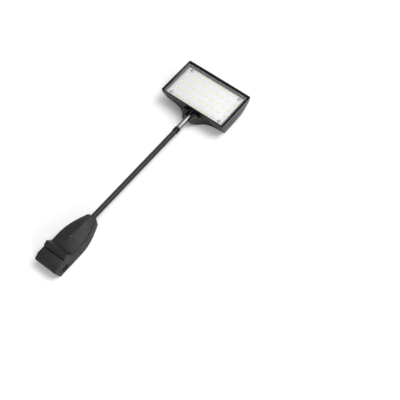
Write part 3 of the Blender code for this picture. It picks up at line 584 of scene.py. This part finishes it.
def bent_bar(name: str, route: list[Point], radius: float) -> Piece:
    """A round bar or lead along a smooth route.

    Args:
        name: Name of the piece.
        route: Points that its centre line passes through.
        radius: Radius of the bar.

    Returns:
        The new object, closed at both ends.
    """
    deselect()
    bpy.ops.curve.primitive_bezier_curve_add()
    obj = bpy.context.object
    curve = obj.data
    curve.splines[0].bezier_points.add(len(route) - 2)
    for knot, place in zip(curve.splines[0].bezier_points, route):
        knot.co = place
        knot.handle_left_type = knot.handle_right_type = "AUTO"
    curve.resolution_u = CURVE_STEPS
    curve.bevel_depth = radius
    curve.bevel_resolution = 4
    curve.use_fill_caps = True
    bpy.ops.object.convert(target="MESH")
    obj = bpy.context.object
    obj.name = obj.data.name = name
    weld(obj)
    shade(obj, ROUND_ANGLE)
    return obj


def joined(name: str, parts: list[Piece]) -> Piece:
    """Join pieces that are one in reality into one mesh.

    Args:
        name: Name of the joined piece.
        parts: Pieces to join; the first one takes in the others.

    Returns:
        The joined object.
    """
    deselect()
    for part in parts:
        part.select_set(True)
    bpy.context.view_layer.objects.active = parts[0]
    bpy.ops.object.join()
    parts[0].name = parts[0].data.name = name
    return parts[0]


def loop_bar(name: str, low: Point, high: Point, radius: float) -> Piece:
    """A thin round bar bent into a flat rectangle.

    Args:
        name: Name of the piece.
        low: Lowest corner of the bar's centre line.
        high: Highest corner, at the same height.
        radius: Radius of the bar.

    Returns:
        The new object.
    """
    deselect()
    size = Vector(high) - Vector(low)
    bpy.ops.mesh.primitive_plane_add(size=1.0, location=(Vector(low) + Vector(high)) / 2)
    obj = bpy.context.object
    obj.name = name
    obj.scale = (size.x, size.y, 1.0)
    settle(obj)
    pick_all(obj)
    bpy.ops.mesh.delete(type="ONLY_FACE")
    close()
    bpy.ops.object.convert(target="CURVE")
    obj = bpy.context.object
    obj.data.bevel_depth = radius
    obj.data.bevel_resolution = 3
    bpy.ops.object.convert(target="MESH")
    obj = bpy.context.object
    obj.name = obj.data.name = name
    weld(obj)
    shade(obj, ROUND_ANGLE)
    return obj


def duplicate(source: Piece, name: str, shift: Point) -> Piece:
    """A copy of a finished piece with its own mesh.

    Args:
        source: Piece to copy.
        name: Name of the copy.
        shift: Where its origin lies.

    Returns:
        The copy.
    """
    take(source)
    bpy.ops.object.duplicate(linked=False)
    obj = bpy.context.object
    obj.name = obj.data.name = name
    obj.location = Vector(shift)
    settle(obj)
    return obj


def dress(obj: Piece, finish: Finish, body: str | None, *stands_for: str) -> Piece:
    """Give a piece its finish and fasten it to the body it moves with.

    Args:
        obj: Finished mesh object.
        finish: Finish of its surface; pieces with their own materials keep them.
        body: Body that it rides on, or None for a piece fastened to no body.
        stands_for: Frame nodes that it is shown instead of.

    Returns:
        The same object.
    """
    if not obj.data.materials:
        obj.data.materials.append(finish.material())
    if body is not None:
        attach(obj, body)
    if stands_for:
        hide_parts(*stands_for)
    LOG.info("piece %s: %d faces, %s", obj.name, len(obj.data.polygons), finish.name)
    return obj


def repaint(node: str, finish: Finish) -> None:
    """Give a frame node that stays visible its finish.

    Args:
        node: Name of the frame node.
        finish: Finish of its surface.
    """
    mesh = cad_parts[node].data
    mesh.materials.clear()
    mesh.materials.append(finish.material())
    LOG.info("frame node %s: %s", node, finish.name)


# ------------------------ screws

@dataclass(frozen=True)
class PanScrew:
    """Small screw with a domed head and a cross recess."""

    shank: float
    head: float
    head_height: float
    length: float
    sides: int = 32
    dome: Profile = ((0.97, 0.0), (1.0, 0.12), (1.0, 0.45), (0.93, 0.72), (0.78, 0.92), (0.55, 1.0))
    blade: Point = (0.52, 0.12, 0.42)  # half length, half width and depth, as shares of the head
    point: Pair = (0.7, 0.0006)  # share of the shank at its tip, and taper length

    def build(self, name: str, axis: Axis, seat: Point, up: float = 1.0) -> Piece:
        """Model the screw with its head on the seat.

        Args:
            name: Name of the piece.
            axis: Axis of the screw.
            seat: Middle of the underside of the head.
            up: 1 when the head stands along the axis, -1 when it stands against it.

        Returns:
            The new object.
        """
        share, taper = self.point
        profile = [(self.shank * share, -self.length), (self.shank, taper - self.length),
                   (self.shank, 0.0)]
        profile += [(self.head * wide, self.head_height * high) for wide, high in self.dome]
        screw = turned(name, tuple((r, h * up) for r, h in profile), axis, seat, self.sides)
        for number in (0, 1):
            cut_away(screw, self.slot_tool(axis, seat, up, number))
        shade(screw, 30.0)
        return screw

    def slot_tool(self, axis: Axis, seat: Point, up: float, number: int) -> Piece:
        """Tapered blade that cuts one arm of the cross recess.

        Args:
            axis: Axis of the screw.
            seat: Middle of the underside of the head.
            up: Side that the head stands on.
            number: 0 for the first blade, 1 for the one across it.

        Returns:
            The tool object.
        """
        along = Vector(axis.value) * up
        others = [Vector(other.value) for other in Axis if other is not axis]
        wide, narrow = others[number], others[1 - number]
        length, width, depth = self.blade
        half = wide * self.head * length + narrow * self.head * width
        reach = Vector(map(abs, along)) * self.head_height * depth
        middle = Vector(seat) + along * self.head_height
        return block("cross_tool", middle - half - reach, middle + half + reach)


# ------------------------ housing

@dataclass
class Housing:
    """Driver housing: tub, gabled cover with its screw, end cap, arm bush and both sockets."""

    edge: float = 0.0003
    cover_edge: float = 0.00015
    socket_edge: float = 0.00025
    tip: float = -0.1475
    swell: float = 0.073
    tip_half: float = 0.0122
    half: float = 0.032
    draft: float = 0.131
    seam_tip: float = 0.021
    seam_full: float = 0.026
    line_radius: float = 0.0006
    line_depth: float = 0.00025
    line_reach: Pair = (0.03, 0.99)
    line_steps: int = 24
    crease: float = 28.0
    ridge_angle: float = 17.0
    cover_end: float = -0.2415
    cover_screw_seat: Point = (0.0, -0.2135, 0.0315)
    bush_screw_seats: tuple[Point, Point] = ((-0.0053, -0.163, 0.0009), (0.0053, -0.163, 0.0009))
    cover_screw: PanScrew = PanScrew(0.0015, 0.0029, 0.0016, 0.011)
    bush_screw: PanScrew = PanScrew(0.0013, 0.0026, 0.0008, 0.0078, 24)

    def seam_point(self, side: int, share: float) -> Point:
        """Point on the outer edge of the seam between tub and cover.

        Args:
            side: -1 for the left wall, 1 for the right.
            share: 0 at the tip, 1 at the rear end of the cover.

        Returns:
            The point, just under the surface.
        """
        y = self.tip + (self.cover_end - self.tip) * share
        opened = math.sin(min((self.tip - y) / self.swell, 1.0) * math.pi / 2)
        z = self.seam_tip + (self.seam_full - self.seam_tip) * opened
        foot = self.tip_half + (self.half - self.tip_half) * opened
        wall = foot * (1.0 - self.draft * z / self.seam_full)
        return side * (wall - self.line_depth), y, z + GAP / 2

    def shadow_bars_in_seam(self) -> None:
        """Dark bars that paint the shadow in the seam on both sides."""
        first, last = self.line_reach
        step = (last - first) / self.line_steps
        shares = [first + step * number for number in range(self.line_steps + 1)]
        for side, name in ((-1, "left"), (1, "right")):
            route = [self.seam_point(side, share) for share in shares]
            dress(bent_bar(f"painted_shadow_bar_{name}", route, self.line_radius), PAINTED_SHADOW_IN_SEAM, HOUSING_BODY)

    def build(self) -> None:
        """Model the housing's pieces and dress them."""
        for node in ("base_shell", "top_cover", "end_cap"):
            piece = copied(node, f"{node}_moulding")
            is_cover = node == "top_cover"
            crease = self.ridge_angle if is_cover else self.crease
            soften(piece, self.cover_edge if is_cover else self.edge, crease, clamp=False)
            shade(piece, crease)
            dress(piece, HOUSING_PLASTIC, HOUSING_BODY, node)
        self.shadow_bars_in_seam()
        for node in ("inlet_socket", "link_socket"):
            piece = copied(node, f"{node}_insert")
            soften(piece, self.socket_edge)
            shade(piece)
            dress(piece, SOCKET_PLASTIC, HOUSING_BODY, node)
            for end in ("front", "rear"):
                repaint(f"{node}_pin_{end}", BRASS)
        screw = self.cover_screw.build("cover_screw_zinc", Axis.Z, self.cover_screw_seat)
        dress(screw, DARK_SCREW, HOUSING_BODY, "cover_screw")
        for seat, side in zip(self.bush_screw_seats, ("left", "right")):
            screw = self.bush_screw.build(f"bush_screw_{side}_zinc", Axis.Z, seat, -1.0)
            dress(screw, ZINC, HOUSING_BODY, f"bush_screw_{side}")
        repaint("arm_bush", SOCKET_PLASTIC)


class Driver:
    """Board and parts inside the housing."""

    FINISHES: ClassVar[dict[str, Finish]] = {
        "driver_board": LAMINATE, "transformer": FERRITE, "choke": FERRITE,
        "input_capacitor": SLEEVE, "output_capacitor": SLEEVE, "inlet_lead": SHEATH,
        "link_lead": SHEATH}

    def build(self) -> None:
        """Dress the parts, which stay as the frame has them."""
        for node, finish in self.FINISHES.items():
            repaint(node, finish)


# ------------------------ arm and hinge

@dataclass
class Arm:
    """Painted tube from the housing to the hinge, and the collar at its end."""

    radius: float = 0.006
    wall: float = 0.0012
    inner_end: float = -0.169
    outer_end: float = 0.1385
    collar_length: float = 0.012
    collar_radius: float = 0.0073
    ease: float = 0.0003
    set_back: float = 0.0004
    shoulder: Profile = ((0.0007, 0.0), (0.0002, 0.0003), (0.0, 0.0008))
    groove: Profile = ((0.0, 0.0034), (0.00035, 0.0031), (0.00035, 0.0025), (0.0, 0.0022))

    def build(self) -> None:
        """Model and dress the tube and the collar."""
        dress(self.tube(), ARM_PAINT, HOUSING_BODY, "arm_tube")
        dress(self.collar(), GLOSS_PLASTIC, HOUSING_BODY, "arm_ferrule")
        repaint("arm_grub_screw", STEEL)

    def tube(self) -> Piece:
        """Drawn tube with eased ends.

        Returns:
            The new object.
        """
        ease, inner, outer = self.ease, self.radius - self.wall, self.radius
        low, high = self.inner_end, self.outer_end - self.set_back
        profile = ((inner, low + ease), (inner + ease, low), (outer - ease, low),
                   (outer, low + ease), (outer, high - ease), (outer - ease, high),
                   (inner + ease, high), (inner, high - ease))
        tube = turned("arm_tube_painted", profile, Axis.Y, (0, 0, ARM_Z), TUBE_SIDES, hollow=True)
        shade(tube, METAL_ANGLE)
        return tube

    def collar(self) -> Piece:
        """Moulded collar with round shoulders and a shallow groove.

        Returns:
            The new object.
        """
        low, high = self.outer_end - self.collar_length, self.outer_end
        inner, outer = self.radius + GAP, self.collar_radius
        profile = [(inner, low), *((outer - inset, low + way) for inset, way in self.shoulder)]
        profile += [(outer - inset, high - way) for inset, way in self.groove]
        profile += [(outer - inset, high - way) for inset, way in reversed(self.shoulder)]
        profile.append((inner, high))
        collar = turned("arm_collar", tuple(profile), Axis.Y, (0, 0, ARM_Z), TUBE_SIDES,
                        hollow=True)
        shade(collar, ROUND_ANGLE)
        return collar


@dataclass
class Hinge:
    """Bright tube with the slanting mouth, and the friction screw through it."""

    radius: float = 0.0063
    wall: float = 0.0014
    spigot: float = 0.0045
    spigot_start: float = 0.1145
    shoulder: float = 0.1388
    end: float = 0.1845
    screw_seat: Point = (-0.0103, PIVOT_Y, ARM_Z)
    screw: PanScrew = PanScrew(0.0018, 0.0035, 0.0022, 0.0213)
    bore: float = 0.0021
    washer_radius: float = 0.0046
    washer_thickness: float = 0.0007
    nut_seat: float = 0.009
    nut_radius: float = 0.0035
    nut_height: float = 0.0022
    step: float = 0.003
    spigot_wall: float = 0.001
    mouth_slope: Pair = (0.009, 0.013)  # fall and run of the slanting mouth
    mouth_set_back: float = 0.002
    edge: float = 0.00022
    washer_edge: float = 0.00012
    nut_edge: float = 0.00015

    def build(self) -> None:
        """Model and dress the hinge pieces."""
        dress(self.tube(), CHROME, HOUSING_BODY, "hinge_tube")
        screw = self.screw.build("hinge_screw_steel", Axis.X, self.screw_seat, -1.0)
        dress(screw, STEEL, HEAD_BODY, "hinge_screw")
        seat = self.radius + GAP
        for name, side in (("left", -1), ("right", 1)):
            low, high = sorted((side * seat, side * (seat + self.washer_thickness)))
            washer = self.ring(f"washer_{name}", self.washer_radius, low, high, 40)
            soften(washer, self.washer_edge)
            shade(washer, METAL_ANGLE)
            dress(washer, STEEL, HEAD_BODY, f"hinge_washer_{name}")
        low, high = self.nut_seat, self.nut_seat + self.nut_height
        nut = self.ring("hinge_nut_steel", self.nut_radius, low, high, 6)
        soften(nut, self.nut_edge)
        dress(nut, STEEL, HEAD_BODY, "hinge_nut")

    def ring(self, name: str, radius: float, low: float, high: float, sides: int) -> Piece:
        """A bored disc on the hinge axis.

        Args:
            name: Name of the piece.
            radius: Its outer radius.
            low: Where its left face lies.
            high: Where its right face lies.
            sides: Number of faces round it.

        Returns:
            The new object.
        """
        profile = ((self.bore, low), (radius, low), (radius, high), (self.bore, high))
        return turned(name, profile, Axis.X, (0, PIVOT_Y, ARM_Z), sides, hollow=True)

    def tube(self) -> Piece:
        """Tube turned to size, then cut to the slanting mouth and bored across.

        Returns:
            The new object.
        """
        inner, step = self.radius - self.wall, self.shoulder + self.step
        bore = self.spigot - self.spigot_wall
        profile = ((bore, self.spigot_start), (self.spigot, self.spigot_start),
                   (self.spigot, self.shoulder), (self.radius, self.shoulder),
                   (self.radius, self.end), (inner, self.end), (inner, step), (bore, step))
        tube = turned("hinge_tube_chrome", profile, Axis.Y, (0, 0, ARM_Z), TUBE_SIDES, hollow=True)
        mouth = block("mouth_tool", (-0.01, 0.0, -0.01), (0.01, 0.02, 0.03))
        mouth.rotation_euler = (math.atan2(*self.mouth_slope), 0.0, 0.0)
        mouth.location = (0.0, self.end + self.mouth_set_back, ARM_Z - 0.003)
        settle(mouth)
        cut_away(tube, mouth)
        cross = turned("cross_tool", ((self.bore, -0.01), (self.bore, 0.01)), Axis.X,
                       (0, PIVOT_Y, ARM_Z), 24)
        cut_away(tube, cross)
        soften(tube, self.edge, METAL_ANGLE)
        shade(tube, METAL_ANGLE)
        return tube


@dataclass
class SupplyLead:
    """Lead from the driver through the arm and over the hinge screw to the light board."""

    radius: float = 0.001
    over_screw: float = 0.0032
    bend_start: float = PIVOT_Y - 0.004
    bend_end: float = PIVOT_Y + 0.012

    def build(self) -> None:
        """Model the lead and dress it, fastened to no body."""
        lead = dress(self.lead(), SHEATH, None, "supply_lead")
        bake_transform(lead)

    def lead(self) -> Piece:
        """A round lead along a smooth route.

        Returns:
            The new object.
        """
        rise = ARM_Z + self.over_screw
        route = [(0, -0.184, 0.0125), (0, -0.177, 0.0155), (0, -0.168, ARM_Z),
                 (0, -0.1, ARM_Z), (0, 0.02, ARM_Z), (0, PIVOT_Y - 0.03, ARM_Z),
                 (0, PIVOT_Y - 0.013, ARM_Z + 0.0022), (0, PIVOT_Y - 0.004, rise),
                 (0, PIVOT_Y + 0.002, rise), (0, PIVOT_Y + 0.008, 0.0238),
                 (0, PIVOT_Y + 0.013, 0.0277), (0, PIVOT_Y + 0.018, 0.0284),
                 (0, PIVOT_Y + 0.02, 0.0312)]
        return bent_bar("supply_lead_sheath", route, self.radius)


# ------------------------ lamp head

@dataclass
class Head:
    """Tub with the flared neck, the gloss frame and the clear cover."""

    edge: float = 0.0004
    frame_edge: float = 0.00028
    skirt_edge: float = 0.0003
    cover_edge: float = 0.0002
    crease: float = 30.0
    window_half: float = 0.0785
    window_near: float = 0.1925
    window_far: float = 0.285
    lip: float = 0.0016
    cover_top: float = 0.0367
    skirt_low: Point = (0.0047, 0.1893, 0.0243)
    skirt_high: Point = (0.0468, 0.1911, 0.0341)
    line_radius: float = 0.0005
    cover_thickness: float = 0.0016
    # how far each line lies outside the opening at the sides, near and far, and its height
    lines: tuple[tuple[float, float, float, float], ...] = ((-0.0002, -0.0002, -0.0002, 0.0378),
                                                            (0.0019, 0.0009, 0.0011, 0.0393))

    def build(self) -> None:
        """Model and dress the head's pieces."""
        shell = copied("head_shell", "head_tub")
        soften(shell, self.edge, clamp=False)
        shade(shell, self.crease)
        dress(shell, HEAD_PLASTIC, HEAD_BODY, "head_shell")
        bezel = copied("bezel", "head_frame")
        soften(bezel, self.frame_edge)
        shade(bezel, self.crease)
        dress(bezel, GLOSS_PLASTIC, HEAD_BODY, "bezel")
        self.highlight_bars()
        self.neck_skirts()
        cover = block("clear_cover_plate",
                      (-self.window_half - self.lip, self.window_near - self.lip,
                       self.cover_top - self.cover_thickness),
                      (self.window_half + self.lip, self.window_far + self.lip, self.cover_top))
        soften(cover, self.cover_edge)
        shade(cover)
        dress(cover, CLEAR, HEAD_BODY, "lens")
        repaint("heat_sink", ALUMINIUM)

    def neck_skirts(self) -> None:
        """Two short walls that close the neck under the light board, one each side of the arm."""
        for side, name in ((-1, "left"), (1, "right")):
            low_x, high_x = sorted((side * self.skirt_low[0], side * self.skirt_high[0]))
            skirt = block(f"neck_skirt_{name}", (low_x, *self.skirt_low[1:]),
                          (high_x, *self.skirt_high[1:]))
            soften(skirt, self.skirt_edge)
            shade(skirt)
            dress(skirt, GLOSS_PLASTIC, HEAD_BODY)

    def highlight_bars(self) -> None:
        """Two thin rounded bars round the opening, one over the other on the sloping wall; their
        grey is painted highlight on the black frame.
        """
        for number, (side, near, far, height) in enumerate(self.lines):
            line = loop_bar(f"painted_frame_highlight_{number + 1}",
                            (-self.window_half - side, self.window_near - near, height),
                            (self.window_half + side, self.window_far + far, height),
                            self.line_radius)
            dress(line, FRAME_HIGHLIGHT_PAINT, HEAD_BODY)


@dataclass
class LightBoard:
    """White board with its grid of emitters and the screws in the corners."""

    columns: int = 9
    rows: int = 5
    pitch_x: float = 0.0168
    pitch_y: float = 0.01905
    middle_y: float = 0.239
    top: float = 0.0332
    bottom: float = 0.0316
    half: float = 0.0791
    near: float = 0.1919
    far: float = 0.2856
    border: float = 0.0032
    solder_place: tuple[int, int] = (7, 0)
    package: Point = (0.0057, 0.003, 0.0007)
    edge: float = 0.00015
    case_edge: float = 0.00008
    pad_edge: float = 0.00012
    rim: float = 0.00026
    well: Pair = (0.00012, 0.00014)  # slope and depth of the window's edge
    pad_reach: Pair = (0.0002, 0.00045)  # of the solder, under and past the case
    pad_width: float = 0.72
    pad_height: float = 0.00034
    land: Profile = ((0.0034, 0.0), (0.0048, 0.0), (0.0047, 0.00008), (0.0034, 0.00008))
    joint: Profile = ((0.0011, 0.0), (0.001, 0.00025), (0.0007, 0.00055), (0.0003, 0.0007))
    joint_shift: float = 0.0016
    # radius of the loop that paints the reflection of the clear cover's lip
    lip_reflection_radius: float = 0.00025
    screw: PanScrew = PanScrew(0.0016, 0.003, 0.001, 0.0052)

    def corners(self) -> dict[str, tuple[int, int]]:
        """Grid places of the four screws by name.

        Returns:
            Column and row of each screw.
        """
        last_column, last_row = self.columns - 1, self.rows - 1
        return {"near_left": (0, 0), "near_right": (last_column, 0), "far_left": (0, last_row),
                "far_right": (last_column, last_row)}

    def place(self, column: int, row: int) -> Point:
        """Point on the board of a grid place.

        Args:
            column: Counted from the left.
            row: Counted from the near side.

        Returns:
            The point on the board's surface.
        """
        return ((column - (self.columns - 1) / 2) * self.pitch_x,
                self.middle_y + (row - (self.rows - 1) / 2) * self.pitch_y, self.top)

    def build(self) -> None:
        """Model and dress the board, the emitters and the screws."""
        board = block("light_board", (-self.half, self.near, self.bottom),
                      (self.half, self.far, self.top))
        soften(board, self.edge)
        shade(board)
        dress(board, WHITE_MASK, HEAD_BODY, "led_board")
        # the grey loop inside the board's edge is painted reflection of the clear cover's lip, not
        # a track on the board
        x, near, far = self.half - self.border, self.near + self.border, self.far - self.border
        border = loop_bar("painted_lip_reflection", (-x, near, self.top), (x, far, self.top),
                          self.lip_reflection_radius)
        dress(border, TINNED_AND_LIP_REFLECTION, HEAD_BODY)
        pattern = self.emitter()
        taken = [*self.corners().values(), self.solder_place]
        for row in range(self.rows):
            places = [self.place(column, row) for column in range(self.columns)
                      if (column, row) not in taken]
            copies = [duplicate(pattern, f"emitter_{row}_{number}", place)
                      for number, place in enumerate(places)]
            dress(joined(f"emitters_row_{row + 1}", copies), LED_CASE, HEAD_BODY)
        bpy.data.objects.remove(pattern, do_unlink=True)
        for name, grid in self.corners().items():
            x, y, z = self.place(*grid)
            screw = self.screw.build(f"board_screw_{name}_zinc", Axis.Z, (x, y, z + GAP / 2))
            dress(screw, ZINC, HEAD_BODY, f"board_screw_{name}")
            land = turned(f"screw_land_{name}", self.land, Axis.Z, (x, y, z), 40, hollow=True)
            dress(land, TINNED_AND_LIP_REFLECTION, HEAD_BODY)
        self.solder_joints()

    def emitter(self) -> Piece:
        """One light emitter at the origin: case, sunk phosphor window and solder at both ends.

        Returns:
            The pattern that the grid is filled with.
        """
        long, wide, high = (size / 2 for size in self.package)
        case = block("emitter_pattern", (-long, -wide, 0.0), (long, wide, high * 2))
        for finish in (LED_CASE, PHOSPHOR, SOLDER):
            case.data.materials.append(finish.material())
        pick_faces(case, lambda middle, normal: normal.z > 0.9)
        bpy.ops.mesh.inset(thickness=self.rim, depth=0.0)
        bpy.ops.mesh.inset(thickness=self.well[0], depth=-self.well[1])
        case.active_material_index = 1
        bpy.ops.object.material_slot_assign()
        close()
        soften(case, self.case_edge, BLUNT_ANGLE, 1)
        parts = [case]
        for side in (-1, 1):
            under, past = self.pad_reach
            low_x, high_x = sorted((side * (long - under), side * (long + past)))
            half = wide * self.pad_width
            pad = block(f"solder_{side}", (low_x, -half, 0.0), (high_x, half, self.pad_height))
            pad.data.materials.append(SOLDER.material())
            soften(pad, self.pad_edge, BLUNT_ANGLE, 1)
            parts.append(pad)
        pattern = joined("emitter_pattern", parts)
        shade(pattern, METAL_ANGLE)
        return pattern

    def solder_joints(self) -> None:
        """Two solder joints over the end of the supply lead."""
        x, y, z = self.place(*self.solder_place)
        for name, side in (("left", -1), ("right", 1)):
            spot = (x + side * self.joint_shift, y, z)
            dome = turned(f"solder_joint_{name}", self.joint, Axis.Z, spot, 20)
            shade(dome, BLUNT_ANGLE)
            dress(dome, SOLDER, HEAD_BODY)


# ------------------------ studio

@dataclass(frozen=True)
class Lamp:
    """One soft square light aimed at the middle of the object."""

    name: str
    place: Point
    size: float
    power: float

    def hang(self) -> None:
        """Put the light in its place."""
        data = bpy.data.lights.new(self.name, "AREA")
        data.size = self.size
        data.energy = self.power
        lamp = bpy.data.objects.new(self.name, data)
        lamp.location = self.place
        lamp.rotation_euler = (-Vector(self.place)).to_track_quat("-Z", "Y").to_euler()
        bpy.context.scene.collection.objects.link(lamp)


@dataclass
class Studio:
    """Pale floor, soft lights and the camera."""

    lamps: tuple[Lamp, ...] = (Lamp("key", (1.15, 1.55, 3.4), 2.6, 122.0),
                               Lamp("side", (2.6, -1.6, 0.9), 1.6, 60.0))
    paint: Finish = Finish("pale_floor", "floor", (0.86, 0.86, 0.86), (0.87, 0.87, 0.87), patch=0.8,
                           rough=(0.85, 0.95), grain_height=0.0)
    surroundings: float = 0.57
    target: Point = (0.152, 0.0225, 0.018)
    azimuth: float = 37.7
    elevation: float = 60.0
    distance: float = 1.735
    lens: float = 73.6
    sensor: float = 36.0
    floor_half: float = 6.0

    def build(self) -> None:
        """Set the whole studio up."""
        self.floor()
        self.world()
        for lamp in self.lamps:
            lamp.hang()
        self.camera()
        bpy.context.scene.view_settings.view_transform = "Standard"

    def floor(self) -> None:
        """Plain pale floor under the light."""
        deselect()
        bpy.ops.mesh.primitive_plane_add(size=self.floor_half * 2)
        floor = bpy.context.object
        floor.name = "floor"
        floor.data.materials.append(self.paint.material())

    def world(self) -> None:
        """Even white surroundings."""
        world = bpy.data.worlds.new("studio")
        world.use_nodes = True
        background = world.node_tree.nodes["Background"]
        background.inputs["Color"].default_value = (1.0, 1.0, 1.0, 1.0)
        background.inputs["Strength"].default_value = self.surroundings
        bpy.context.scene.world = world

    def camera(self) -> None:
        """Camera on its line of sight, level with the horizon."""
        turn, rise = math.radians(self.azimuth), math.radians(self.elevation)
        flat = math.cos(rise)
        back = Vector((math.sin(turn) * flat, -math.cos(turn) * flat, math.sin(rise)))
        data = bpy.data.cameras.new("camera")
        data.lens = self.lens
        data.sensor_width = self.sensor
        camera = bpy.data.objects.new("camera", data)
        camera.location = Vector(self.target) + back * self.distance
        camera.rotation_euler = back.to_track_quat("Z", "Y").to_euler()
        bpy.context.scene.collection.objects.link(camera)
        bpy.context.scene.camera = camera


def main() -> None:
    """Build every sub-assembly and the studio."""
    logging.basicConfig(level=logging.INFO, format="%(message)s")
    for assembly in (Housing(), Driver(), Arm(), Hinge(), SupplyLead(), Head(), LightBoard(),
                     Studio()):
        LOG.info("building %s", type(assembly).__name__)
        assembly.build()


if __name__ == "__main__":
    main()
